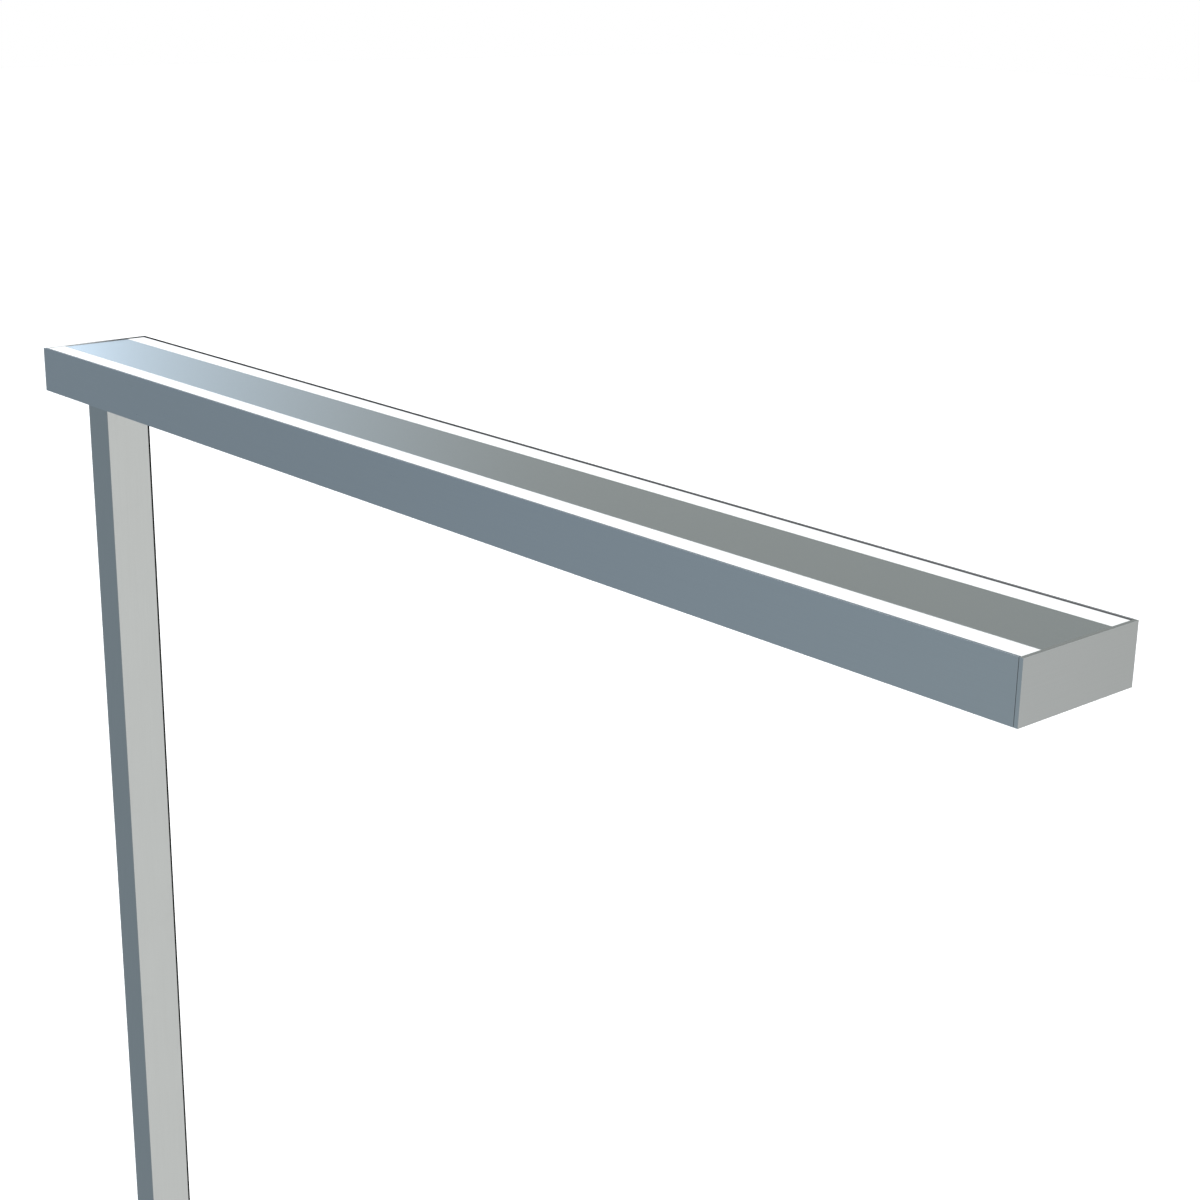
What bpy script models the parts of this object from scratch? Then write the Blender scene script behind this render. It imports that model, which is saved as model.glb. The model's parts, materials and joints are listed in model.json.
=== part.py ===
"""Desk light bar: a slim box that lights up and down, carried at one end by a plain post with a desk clamp.

Metres, +Z up. The origin lies on the desk top, straight under the post's axis. The bar reaches out along
+X over the desk, -Y is the side with the dimmer button, and the desk's edge stands against the clamp's
spine on the -X side.
"""

import math

import bmesh
import bpy
from mathutils import Matrix, Vector

MM = 0.001
DEG = math.pi / 180

# Clearances
GAP = 0.3 * MM  # left between pieces that seat on each other
OVERLAP = 0.3 * MM  # how far shapes that are joined into one piece reach into each other
REACH = 1 * MM  # how far a cutter runs past the wall that it cuts
WELD = 0.001 * MM
FLAT_ANGLE = 0.1 * DEG  # faces that turn less than this are one flat face

# The bar
HEAD_TOP = 1200 * MM  # above the desk top
HEAD_LENGTH = 1200 * MM
HEAD_WIDTH = 112 * MM
HEAD_HEIGHT = 43 * MM
SIDE_WALL = 2 * MM
END_CAP = 3 * MM
WEB_DEPTH = 20.5 * MM  # from the bar's top to the upper face of the web between its walls
WEB_THICKNESS = 2 * MM
PARTITION_WALL = 1.5 * MM
LEDGE_WIDTH = 2 * MM
LEDGE_THICKNESS = 1.2 * MM
LIP_WIDTH = 3 * MM
LIP_THICKNESS = 1.5 * MM
UPLIGHT_WIDTH = 19 * MM
TOP_THICKNESS = 2 * MM  # of the top panel and of the diffusers beside it
TOP_RECESS = 0.6 * MM  # of these below the bar's upper rim
PANEL_LEG = 6 * MM
PANEL_LEG_WALL = 1.2 * MM
DOWNLIGHT_THICKNESS = 2.5 * MM
UNDERSIDE_THICKNESS = 2 * MM
UNDERSIDE_REACH = 25 * MM  # of the metal underside past the post
TONGUE_LENGTH = 12 * MM
TONGUE_WALL = 1.5 * MM
TONGUE_CLEARANCE = 2.7 * MM  # under the side tongues
TONGUE_HALF_WIDTH = 25 * MM

# Light boards, drivers and terminals in the bar
BOARD_THICKNESS = 1.6 * MM
BOARD_INSET = 20 * MM  # from the bar's ends
UPLIGHT_BOARD_WIDTH = 12 * MM
DOWNLIGHT_BOARD_WIDTH = 20 * MM
DOWNLIGHT_BOARD_Y = 26 * MM
LED_SIZE = 3.5 * MM
LED_HEIGHT = 0.8 * MM
LEDS_PER_BOARD = 16
PLUG_LENGTH = 7 * MM  # the socket on each board that takes its lead
PLUG_WIDTH = 6 * MM
PLUG_HEIGHT = 4 * MM
DRIVER_LENGTH = 280 * MM
DRIVER_WIDTH = 30 * MM
DRIVER_HEIGHT = 16.5 * MM
DRIVER_EAR = 10 * MM
DRIVER_EAR_THICKNESS = 3 * MM
UPLIGHT_DRIVER_X = 130 * MM
DOWNLIGHT_DRIVER_X = 450 * MM
TERMINAL_X = 48 * MM
TERMINAL_SIZE = (40 * MM, 20 * MM, 12 * MM)
DRIVER_LEAD_HEIGHT = 10 * MM  # above the web, where leads enter the drivers
LEAD_HOLE_OFFSET = 30 * MM  # from a driver's body to the hole its leads leave through

# The post
POST_WIDTH = 38 * MM  # along X
POST_DEPTH = 44 * MM  # along Y, without the rear cover
POST_WALL = 2.5 * MM
POST_INSET = 21.5 * MM  # from the bar's left end to the post's left face
REAR_COVER = 1.6 * MM
COVER_LEG = 5 * MM
COVER_LEG_WALL = 1.2 * MM
BLOCK_HEIGHT = 30 * MM
MOUNT_PLATE = 5 * MM
MOUNT_PLATE_LENGTH = 68 * MM
MOUNT_PLATE_WIDTH = 96 * MM
LEAD_HOLE_RADIUS = 8 * MM
BUSH_WALL = 1.4 * MM
BUSH_FLANGE = 1.5 * MM
BUSH_FLANGE_THICKNESS = 1.7 * MM

# Screws: (head radius, head height, shank radius, shank length, hexagon socket radius, socket depth)
MOUNT_SCREW = (5 * MM, 6 * MM, 3 * MM, 25 * MM, 2.9 * MM, 3 * MM)
DRIVER_SCREW = (3.5 * MM, 2.5 * MM, 2 * MM, 8 * MM, 1.4 * MM, 1.4 * MM)
FOOT_SCREW = (6 * MM, 3.3 * MM, 3 * MM, 25 * MM, 2.3 * MM, 2 * MM)
BLOCK_SCREW = (4.5 * MM, 2 * MM, 2.5 * MM, 10 * MM, 1.7 * MM, 1.4 * MM)
SCREW_SQUARE = 21 * MM  # side of the square of four screws at each end of the post
BLOCK_SCREW_Y = 8 * MM
BLOCK_SCREW_RISE = 7 * MM  # from the end of the block that faces the middle of the post

# The dimmer button
BUTTON_HEIGHT = 200 * MM  # above the desk top
BUTTON_RADIUS = 8.5 * MM
BUTTON_STEM_RADIUS = 5 * MM
BUTTON_PROUD = 3.4 * MM
BUTTON_TRAVEL = 1.5 * MM
BUTTON_CAP_DEPTH = 6.4 * MM
BUTTON_LENGTH = 14.7 * MM
BEZEL_WALL = 1.2 * MM
BEZEL_FLANGE = 2 * MM
BEZEL_THICKNESS = 1.5 * MM
BEZEL_DEPTH = 10 * MM  # behind the post's front face
BEZEL_GUIDE = 4.5 * MM
NUT_RADIUS = 14 * MM
NUT_THICKNESS = 3 * MM
SWITCH_RADIUS = 9.5 * MM
SWITCH_LENGTH = 14.7 * MM
SWITCH_CUP_RADIUS = 6 * MM
SWITCH_CUP_DEPTH = 3.7 * MM
SWITCH_PLUNGER_RADIUS = 1.8 * MM

# The mains inlet
INLET_HEIGHT = 75 * MM  # above the desk top
INLET_FLANGE = (30 * MM, 2 * MM, 24 * MM)
INLET_BODY = (27 * MM, 18 * MM, 20 * MM)
INLET_MOUTH = (24 * MM, 15 * MM, 16 * MM)
PIN_SIZE = (2 * MM, 10.5 * MM, 4 * MM)
PIN_PITCH = 14 * MM
PIN_RISE = 1 * MM
EARTH_DROP = 4 * MM

# The desk clamp
JAW_THICKNESS = 8 * MM
JAW_WIDTH = 80 * MM
THROAT = 76 * MM  # from the desk top down to the lower jaw
SEAT_PAD = 2 * MM
EDGE_PAD = 1.5 * MM
EDGE_PAD_INSET = 14 * MM  # from the throat's top and bottom
SPINE_OFFSET = 22 * MM  # from the post's left face to the spine
UPPER_JAW_REACH = 85 * MM  # from the post's axis
LOWER_JAW_REACH = 42 * MM
BEND_RADIUS = 4 * MM  # inner
DESK_AT_REST = 25 * MM  # the desk thickness that the clamp is set to
SPINDLE_X = 10 * MM
SPINDLE_RADIUS = 6 * MM
NECK_RADIUS = 4 * MM
BALL_RADIUS = 5.5 * MM
SPINDLE_NECK = 3 * MM
PAD_RADIUS = 19 * MM
PAD_RIM = 4 * MM
PAD_CONE = 3 * MM
PAD_BOSS_RADIUS = 10 * MM
PAD_DEPTH = 16 * MM
PAD_SOCKET_DEPTH = 10.5 * MM
PAD_LINER = 1.5 * MM
PAD_LINER_INSET = 1 * MM
NUT_FLANGE_RADIUS = 11 * MM
NUT_FLANGE = 4 * MM
NUT_BODY_RADIUS = 9 * MM
NUT_BODY = 18 * MM
KNOB_DROP = 108 * MM  # from the desk top down to the knob's hub
KNOB_RADIUS = 23 * MM
KNOB_LOBE = 3 * MM
KNOB_LOBES = 6
KNOB_POINTS_PER_LOBE = 7
KNOB_HEIGHT = 18 * MM
KNOB_BEVEL = 2.2 * MM
HUB_RADIUS = 11 * MM
HUB_HEIGHT = 8 * MM
STUB_RADIUS = 4 * MM
STUB_LENGTH = 21 * MM
PIN_RADIUS = 1.5 * MM

# Leads inside the bar and the post
SUPPLY_LEAD = 5 * MM
DIMMER_LEAD = 3 * MM
DRIVER_LEAD = 4 * MM
BOARD_LEAD = 2.4 * MM

ROUND_STEPS = 24
SCREW_STEPS = 12
BEND_STEPS = 14

# Places worked out from the sizes above
head_left = -(POST_INSET + POST_WIDTH / 2)
head_right = head_left + HEAD_LENGTH
head_bottom = HEAD_TOP - HEAD_HEIGHT
web_top = HEAD_TOP - WEB_DEPTH
web_under = web_top - WEB_THICKNESS
wall_inner = HEAD_WIDTH / 2 - SIDE_WALL
panel_half = wall_inner - GAP - UPLIGHT_WIDTH - GAP
partition_inner = panel_half - PARTITION_WALL
cover_top = HEAD_TOP - TOP_RECESS
ledge_top = cover_top - TOP_THICKNESS - GAP
downlight_top = head_bottom + LIP_THICKNESS + GAP + DOWNLIGHT_THICKNESS
underside_end = POST_WIDTH / 2 + UNDERSIDE_REACH
post_front = -POST_DEPTH / 2
cover_inner = POST_DEPTH / 2
post_rear = cover_inner + REAR_COVER
post_top = web_under - GAP - MOUNT_PLATE - GAP
jaw_under = SEAT_PAD + GAP
jaw_top = jaw_under + JAW_THICKNESS
post_bottom = jaw_top + GAP
block_half = POST_WIDTH / 2 - POST_WALL - GAP
block_front = post_front + POST_WALL + GAP
block_rear = cover_inner - COVER_LEG - GAP
spine_inner = -(POST_WIDTH / 2 + SPINE_OFFSET)
spine_outer = spine_inner - JAW_THICKNESS
pad_top = -DESK_AT_REST - PAD_LINER - GAP
knob_top = -KNOB_DROP

AXIS_TURNS = {
    "X": Matrix.Rotation(90 * DEG, 4, "Y"),
    "Y": Matrix.Rotation(-90 * DEG, 4, "X"),
    "Z": Matrix.Identity(4),
}
# How a flat outline's own X, Y and Z lie when it is extruded along each axis
OUTLINE_FRAMES = {
    "X": Matrix(((0, 0, 1), (1, 0, 0), (0, 1, 0))).to_4x4(),
    "Y": Matrix(((1, 0, 0), (0, 0, -1), (0, 1, 0))).to_4x4(),
    "Z": Matrix.Identity(4),
}

# Colour, roughness, metallic
FINISHES = {
    "anodised": ((0.55, 0.58, 0.60), 0.38, 1.0),
    "top_panel": ((0.50, 0.52, 0.53), 0.32, 1.0),
    "opal": ((0.95, 0.96, 0.96), 0.55, 0.0),
    "black_plastic": ((0.02, 0.02, 0.022), 0.45, 0.0),
    "steel": ((0.45, 0.45, 0.46), 0.35, 1.0),
    "painted_steel": ((0.42, 0.44, 0.45), 0.45, 0.6),
    "rubber": ((0.03, 0.03, 0.03), 0.8, 0.0),
    "board": ((0.85, 0.86, 0.84), 0.5, 0.0),
    "driver": ((0.86, 0.86, 0.84), 0.5, 0.0),
    "brass": ((0.70, 0.55, 0.25), 0.35, 1.0),
    "grey_lead": ((0.35, 0.36, 0.37), 0.6, 0.0),
    "white_lead": ((0.80, 0.80, 0.78), 0.6, 0.0),
}


def clear_scene():
    for item in list(bpy.data.objects):
        bpy.data.objects.remove(item)


def new_collection(name):
    collection = bpy.data.collections.new(name)
    bpy.context.scene.collection.children.link(collection)
    return collection


def new_material(name, colour, roughness, metallic):
    material = bpy.data.materials.new(name)
    material.use_nodes = True
    shader = material.node_tree.nodes["Principled BSDF"]
    shader.inputs["Base Color"].default_value = (*colour, 1)
    shader.inputs["Roughness"].default_value = roughness
    shader.inputs["Metallic"].default_value = metallic
    return material


clear_scene()
parts = new_collection("desk_light_bar")
cutters = new_collection("cutters")


def finished(bm, name):
    """The mesh of a bmesh, with its faces turned outwards and its round sides shaded smooth."""
    bmesh.ops.recalc_face_normals(bm, faces=bm.faces)
    mesh = bpy.data.meshes.new(name)
    bm.to_mesh(mesh)
    bm.free()
    mesh.shade_smooth()
    mesh.set_sharp_from_angle(angle=30 * DEG)
    return mesh


def boxes(name, *corners):
    """A mesh of boxes, each given by its lowest and highest corner."""
    bm = bmesh.new()
    for low, high in corners:
        size = Vector(high) - Vector(low)
        middle = (Vector(high) + Vector(low)) / 2
        place = Matrix.Translation(middle) @ Matrix.Diagonal((*size, 1))
        bmesh.ops.create_cube(bm, size=1, matrix=place)
    return finished(bm, name)


def rods(name, axis, *rods_wanted, steps=SCREW_STEPS):
    """A mesh of round bars along an axis, each given by the centre of its low end, its length and radius."""
    bm = bmesh.new()
    for start, length, radius in rods_wanted:
        place = Matrix.Translation(start) @ AXIS_TURNS[axis] @ Matrix.Translation((0, 0, length / 2))
        bmesh.ops.create_cone(
            bm, cap_ends=True, segments=steps, radius1=radius, radius2=radius, depth=length, matrix=place
        )
    return finished(bm, name)


def extrusion(name, axis, start, end, *outlines):
    """The mesh of flat outlines extruded from start to end along an axis; an inner outline is a hole."""
    curve = bpy.data.curves.new(name, "CURVE")
    curve.dimensions = "2D"
    curve.fill_mode = "BOTH"
    curve.extrude = (end - start) / 2
    for outline in outlines:
        spline = curve.splines.new("POLY")
        spline.points.add(len(outline) - 1)
        for point, (u, v) in zip(spline.points, outline):
            point.co = (u, v, 0, 1)
        spline.use_cyclic_u = True
    holder = bpy.data.objects.new(name, curve)
    parts.objects.link(holder)
    graph = bpy.context.evaluated_depsgraph_get()
    mesh = bpy.data.meshes.new_from_object(holder.evaluated_get(graph))
    bpy.data.objects.remove(holder)
    bpy.data.curves.remove(curve)
    bm = bmesh.new()
    bm.from_mesh(mesh)
    bpy.data.meshes.remove(mesh)
    bmesh.ops.remove_doubles(bm, verts=bm.verts, dist=WELD)
    bmesh.ops.dissolve_limit(bm, angle_limit=FLAT_ANGLE, verts=bm.verts, edges=bm.edges)
    middle = {"XYZ"[i]: (start + end) / 2 if "XYZ"[i] == axis else 0 for i in range(3)}
    bm.transform(Matrix.Translation((middle["X"], middle["Y"], middle["Z"])) @ OUTLINE_FRAMES[axis])
    return finished(bm, name)


def rounded(corners, steps=5):
    """An outline through corners (u, v, radius), each rounded by an arc where its radius isn't 0."""
    outline = []
    for i, (u, v, radius) in enumerate(corners):
        corner = Vector((u, v))
        if radius == 0:
            outline.append(corner.to_tuple())
            continue
        before = (Vector(corners[i - 1][:2]) - corner).normalized()
        after = (Vector(corners[(i + 1) % len(corners)][:2]) - corner).normalized()
        half_angle = before.angle(after) / 2
        centre = corner + (before + after).normalized() * radius / math.sin(half_angle)
        first = corner + before * radius / math.tan(half_angle) - centre
        sweep = first.angle_signed(corner + after * radius / math.tan(half_angle) - centre)
        for step in range(steps + 1):
            # angle_signed is clockwise, and Matrix.Rotation turns the other way
            turn = Matrix.Rotation(-sweep * step / steps, 2)
            outline.append((centre + turn @ first).to_tuple())
    return outline


def add_part(name, mesh, finish):
    part = bpy.data.objects.new(name, mesh)
    mesh.materials.append(materials[finish])
    parts.objects.link(part)
    return part


def combine(part, operation, mesh):
    """Cuts a mesh from a part, or joins it on, by a Boolean whose helper object stays hidden."""
    helper = bpy.data.objects.new(mesh.name, mesh)
    helper.hide_render = True
    helper.display_type = "WIRE"
    helper.matrix_world = part.matrix_world
    cutters.objects.link(helper)
    modifier = part.modifiers.new(mesh.name, "BOOLEAN")
    modifier.operation = operation
    modifier.solver = "EXACT"
    modifier.object = helper


def cut(part, mesh):
    combine(part, "DIFFERENCE", mesh)


def join(part, mesh):
    combine(part, "UNION", mesh)


def turned(name, profile, finish, place=None, closed=False, steps=ROUND_STEPS):
    """A turned piece: a profile of (radius, height), top to bottom down its outer side, round its Z axis."""
    mesh = bpy.data.meshes.new(name)
    edges = [(i, i + 1) for i in range(len(profile) - 1)]
    if closed:
        edges.append((len(profile) - 1, 0))
    mesh.from_pydata([(radius, 0, height) for radius, height in profile], edges, [])
    part = add_part(name, mesh, finish)
    part.matrix_world = place or Matrix.Identity(4)
    turn = part.modifiers.new("turn", "SCREW")
    turn.axis = "Z"
    turn.steps = steps
    turn.render_steps = steps
    turn.use_merge_vertices = True
    turn.merge_threshold = WELD
    return part


def hexagon(radius):
    return [(radius * math.cos(60 * DEG * i), radius * math.sin(60 * DEG * i)) for i in range(6)]


def screw(name, head_face, direction, size, countersunk=False):
    """A screw whose shank points along a direction. head_face is the middle of the head's seat, or of
    the head's flat outer face where it is countersunk.
    """
    head_radius, head_height, shank_radius, shank_length, socket_radius, socket_depth = size
    place = Matrix.Translation(head_face) @ (
        Vector((0, 0, -1)).rotation_difference(Vector(direction)).to_matrix().to_4x4()
    )
    top = 0 if countersunk else head_height
    profile = [(0, top), (head_radius, top)]
    if countersunk:
        profile += [(shank_radius, -head_height)]
    else:
        profile += [(head_radius, 0), (shank_radius, 0)]
    profile += [(shank_radius, -shank_length), (0, -shank_length)]
    part = turned(name, profile, "steel", place, steps=SCREW_STEPS)
    socket = extrusion(name + "_socket", "Z", top - socket_depth, top + REACH, hexagon(socket_radius))
    cut(part, socket)
    return part


def countersinks(name, axis, sign, faces, size):
    """Cutters for countersunk screws whose heads lie flush with a face and whose shanks point along
    sign times the axis.
    """
    head_radius, head_height, shank_radius, shank_length = size[:4]
    bm = bmesh.new()
    turn = AXIS_TURNS[axis] @ (Matrix.Identity(4) if sign < 0 else Matrix.Rotation(180 * DEG, 4, "X"))
    wide = head_radius + GAP
    narrow = shank_radius + GAP
    slope = (head_radius - shank_radius) / head_height
    for face in faces:
        place = Matrix.Translation(face) @ turn
        # The cone is carried on past the face, so that its cut is clean there.
        cone_depth = head_height + REACH
        bmesh.ops.create_cone(
            bm,
            cap_ends=True,
            segments=SCREW_STEPS,
            radius1=narrow,
            radius2=wide + slope * REACH,
            depth=cone_depth,
            matrix=place @ Matrix.Translation((0, 0, REACH - cone_depth / 2)),
        )
    cones = finished(bm, name + "_cones")
    bore_length = shank_length + GAP
    back = sign_vector(axis, bore_length if sign < 0 else 0)
    shafts = rods(name + "_shafts", axis, *((Vector(face) - back, bore_length, narrow) for face in faces))
    return cones, shafts


def sign_vector(axis, length):
    return Vector([length if letter == axis else 0 for letter in "XYZ"])


def square_of_screws():
    half = SCREW_SQUARE / 2
    return [(x, y) for x in (-half, half) for y in (-half, half)]


def mirrored(points):
    return [(-u, v) for u, v in reversed(points)]


def smooth_route(points, steps=3):
    """Points along a smooth curve through a route, by Catmull-Rom spans."""
    route = [Vector(point) * MM for point in points]
    ends = [2 * route[0] - route[1], *route, 2 * route[-1] - route[-2]]
    curve = []
    for before, start, end, after in zip(ends, ends[1:], ends[2:], ends[3:]):
        for step in range(steps):
            t = step / steps
            curve.append(
                0.5
                * (
                    2 * start
                    + (end - before) * t
                    + (2 * before - 5 * start + 4 * end - after) * t**2
                    + (3 * start - before - 3 * end + after) * t**3
                )
            )
    return [*curve, route[-1]]


def lead(name, diameter, points, finish):
    """A lead through route points given in millimetres."""
    route = smooth_route(points)
    curve = bpy.data.curves.new(name, "CURVE")
    curve.dimensions = "3D"
    curve.bevel_depth = diameter / 2
    curve.bevel_resolution = 2
    curve.use_fill_caps = True
    spline = curve.splines.new("POLY")
    spline.points.add(len(route) - 1)
    for point, place in zip(spline.points, route):
        point.co = (*place, 1)
    curve.materials.append(materials[finish])
    parts.objects.link(bpy.data.objects.new(name, curve))


def make_head_profile():
    half = HEAD_WIDTH / 2
    ledge_under = ledge_top - LEDGE_THICKNESS
    upper = [
        (half, head_bottom),
        (half, HEAD_TOP),
        (wall_inner, HEAD_TOP),
        (wall_inner, ledge_top),
        (wall_inner - LEDGE_WIDTH, ledge_top),
        (wall_inner - LEDGE_WIDTH, ledge_under),
        (wall_inner, ledge_under),
        (wall_inner, web_top),
        (panel_half, web_top),
        (panel_half, ledge_under),
        (panel_half + LEDGE_WIDTH, ledge_under),
        (panel_half + LEDGE_WIDTH, ledge_top),
        (partition_inner, ledge_top),
        (partition_inner, web_top),
    ]
    lower = [
        (wall_inner, web_under),
        (wall_inner, head_bottom + LIP_THICKNESS),
        (wall_inner - LIP_WIDTH, head_bottom + LIP_THICKNESS),
        (wall_inner - LIP_WIDTH, head_bottom),
    ]
    outline = upper + mirrored(upper) + mirrored(lower) + lower
    start = head_left + END_CAP + GAP
    end = head_right - END_CAP - GAP
    part = add_part("head_profile", extrusion("head_profile", "X", start, end, outline), "anodised")
    through = WEB_THICKNESS + 2 * REACH
    low = web_under - REACH
    holes = [((x, y, low), through, MOUNT_SCREW[2] + GAP) for x, y in square_of_screws()]
    holes.append(((0, 0, low), through, LEAD_HOLE_RADIUS))
    holes += [((x, 0, low), through, DRIVER_SCREW[2] + GAP) for x in driver_screw_places()]
    for side in (-1, 1):
        x, y = downlight_hole(side)
        holes.append(((x, y, low), through, BOARD_LEAD / 2 + REACH))
    cut(part, rods("head_profile_web_holes", "Z", *holes))
    partition_holes = [
        (
            (uplight_hole_x(), min(side * partition_inner, side * panel_half) - REACH, uplight_lead_z()),
            PARTITION_WALL + 2 * REACH,
            BOARD_LEAD / 2 + 2 * GAP,
        )
        for side in (-1, 1)
    ]
    cut(part, rods("head_profile_partition_holes", "Y", *partition_holes))


def make_end_cap(name, outer_x, inward):
    def span(depth_from, depth_to):
        return sorted((outer_x + inward * depth_from, outer_x + inward * depth_to))

    low_x, high_x = span(0, END_CAP)
    half = HEAD_WIDTH / 2
    part = add_part(name, boxes(name, ((low_x, -half, head_bottom), (high_x, half, HEAD_TOP))), "anodised")
    low_x, high_x = span(END_CAP - OVERLAP, END_CAP + TONGUE_LENGTH)
    outer = wall_inner - GAP
    inner = outer - TONGUE_WALL
    tongue_top = web_under - TONGUE_WALL
    tongue_low = downlight_top + TONGUE_CLEARANCE
    middle_low = web_top + GAP
    tongues = boxes(
        name + "_tongues",
        ((low_x, inner, tongue_low), (high_x, outer, tongue_top)),
        ((low_x, -outer, tongue_low), (high_x, -inner, tongue_top)),
        ((low_x, -TONGUE_HALF_WIDTH, middle_low), (high_x, TONGUE_HALF_WIDTH, middle_low + TONGUE_WALL)),
    )
    join(part, tongues)


def make_top_panel():
    under = cover_top - TOP_THICKNESS
    leg_outer = partition_inner - GAP
    leg_inner = leg_outer - PANEL_LEG_WALL
    side = [
        (panel_half, cover_top),
        (panel_half, under),
        (leg_outer, under),
        (leg_outer, under - PANEL_LEG),
        (leg_inner, under - PANEL_LEG),
        (leg_inner, under),
    ]
    start = head_left + END_CAP + GAP
    end = head_right - END_CAP - GAP
    add_part("top_panel", extrusion("top_panel", "X", start, end, side + mirrored(side)), "top_panel")


def make_uplight_diffuser(name, side):
    inner, outer = sorted((side * (panel_half + GAP), side * (wall_inner - GAP)))
    low = (head_left + END_CAP + GAP, inner, cover_top - TOP_THICKNESS)
    high = (head_right - END_CAP - GAP, outer, cover_top)
    add_part(name, boxes(name, (low, high)), "opal")


def make_led_board(name, low_x, high_x, low_y, high_y, seat_z, facing, plug_low, plug_high):
    """A strip board that seats on the web and faces up or down, with its LEDs and the socket for its lead."""
    far_z = seat_z + facing * BOARD_THICKNESS
    part = add_part(
        name,
        boxes(name, ((low_x, low_y, min(seat_z, far_z)), (high_x, high_y, max(seat_z, far_z)))),
        "board",
    )
    middle = (low_y + high_y) / 2
    pitch = (high_x - low_x) / LEDS_PER_BOARD
    low_z, high_z = sorted((far_z - facing * OVERLAP, far_z + facing * LED_HEIGHT))
    leds = []
    for i in range(LEDS_PER_BOARD):
        x = low_x + (i + 0.5) * pitch
        leds.append(
            (
                (x - LED_SIZE / 2, middle - LED_SIZE / 2, low_z),
                (x + LED_SIZE / 2, middle + LED_SIZE / 2, high_z),
            )
        )
    join(part, boxes(name + "_leds", *leds))
    join(part, boxes(name + "_plug", (plug_low, plug_high)))


def uplight_hole_x():
    return UPLIGHT_DRIVER_X + DRIVER_LENGTH - DRIVER_EAR + LEAD_HOLE_OFFSET


def uplight_lead_z():
    return web_top + GAP + BOARD_THICKNESS + PLUG_HEIGHT / 2 + OVERLAP


def uplight_board_span():
    """How far from the middle plane an uplight board lies: its inner and outer edge."""
    middle = (panel_half + wall_inner) / 2
    return middle - UPLIGHT_BOARD_WIDTH / 2, middle + UPLIGHT_BOARD_WIDTH / 2


def downlight_board_span():
    return (
        DOWNLIGHT_BOARD_Y - DOWNLIGHT_BOARD_WIDTH / 2,
        DOWNLIGHT_BOARD_Y + DOWNLIGHT_BOARD_WIDTH / 2,
    )


def downlight_hole(side):
    """Where a downlight lead goes down through the web."""
    x = DOWNLIGHT_DRIVER_X + DRIVER_LENGTH - DRIVER_EAR + LEAD_HOLE_OFFSET
    return x, side * (downlight_board_span()[0] - PLUG_WIDTH)


def make_uplight_board(name, side):
    inner, outer = uplight_board_span()
    low_y, high_y = sorted((side * inner, side * outer))
    plug_y = sorted((side * (inner + REACH), side * (inner + REACH + PLUG_WIDTH)))
    seat = web_top + GAP
    top = seat + BOARD_THICKNESS
    make_led_board(
        name,
        head_left + BOARD_INSET,
        head_right - BOARD_INSET,
        low_y,
        high_y,
        seat,
        1,
        (uplight_hole_x() - PLUG_LENGTH / 2, plug_y[0], top - OVERLAP),
        (uplight_hole_x() + PLUG_LENGTH / 2, plug_y[1], top + PLUG_HEIGHT),
    )


def make_downlight_board(name, side):
    inner, outer = downlight_board_span()
    low_y, high_y = sorted((side * inner, side * outer))
    plug_y = sorted((side * (inner + OVERLAP), side * (inner + OVERLAP + PLUG_WIDTH)))
    seat = web_under - GAP
    low = seat - BOARD_THICKNESS
    x = downlight_hole(side)[0]
    make_led_board(
        name,
        underside_end + BOARD_INSET,
        head_right - BOARD_INSET,
        low_y,
        high_y,
        seat,
        -1,
        (x - PLUG_LENGTH / 2, plug_y[0], low - PLUG_HEIGHT),
        (x + PLUG_LENGTH / 2, plug_y[1], low + OVERLAP),
    )


def make_downlight_diffuser():
    low = downlight_top - DOWNLIGHT_THICKNESS
    half = wall_inner - GAP
    mesh = boxes(
        "downlight_diffuser",
        ((underside_end + GAP, -half, low), (head_right - END_CAP - GAP, half, downlight_top)),
    )
    add_part("downlight_diffuser", mesh, "opal")


def make_underside_plate():
    low = head_bottom + LIP_THICKNESS + GAP
    half = wall_inner - GAP
    mesh = boxes(
        "underside_plate",
        ((head_left + END_CAP + GAP, -half, low), (underside_end, half, low + UNDERSIDE_THICKNESS)),
    )
    part = add_part("underside_plate", mesh, "anodised")
    hole_x = POST_WIDTH / 2 + GAP
    hole = boxes(
        "underside_plate_hole",
        (
            (-hole_x, post_front - GAP, low - REACH),
            (hole_x, post_rear + GAP, low + UNDERSIDE_THICKNESS + REACH),
        ),
    )
    cut(part, hole)


def driver_screw_places():
    return [
        start + end
        for start in (UPLIGHT_DRIVER_X, DOWNLIGHT_DRIVER_X)
        for end in (DRIVER_EAR / 2, DRIVER_LENGTH - DRIVER_EAR / 2)
    ]


def make_driver(name, start):
    """A driver: a sealed box with a thin ear at each end, each with a screw hole."""
    seat = web_top + GAP
    half = DRIVER_WIDTH / 2
    end = start + DRIVER_LENGTH
    body = boxes(name, ((start + DRIVER_EAR, -half, seat), (end - DRIVER_EAR, half, seat + DRIVER_HEIGHT)))
    part = add_part(name, body, "driver")
    ear_half = half - DRIVER_EAR / 2
    ear_top = seat + DRIVER_EAR_THICKNESS
    ears = boxes(
        name + "_ears",
        ((start, -ear_half, seat), (start + DRIVER_EAR + OVERLAP, ear_half, ear_top)),
        ((end - DRIVER_EAR - OVERLAP, -ear_half, seat), (end, ear_half, ear_top)),
    )
    join(part, ears)
    holes = [
        ((x, 0, seat - REACH), DRIVER_EAR_THICKNESS + 2 * REACH, DRIVER_SCREW[2] + GAP)
        for x in (start + DRIVER_EAR / 2, end - DRIVER_EAR / 2)
    ]
    cut(part, rods(name + "_holes", "Z", *holes))


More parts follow.
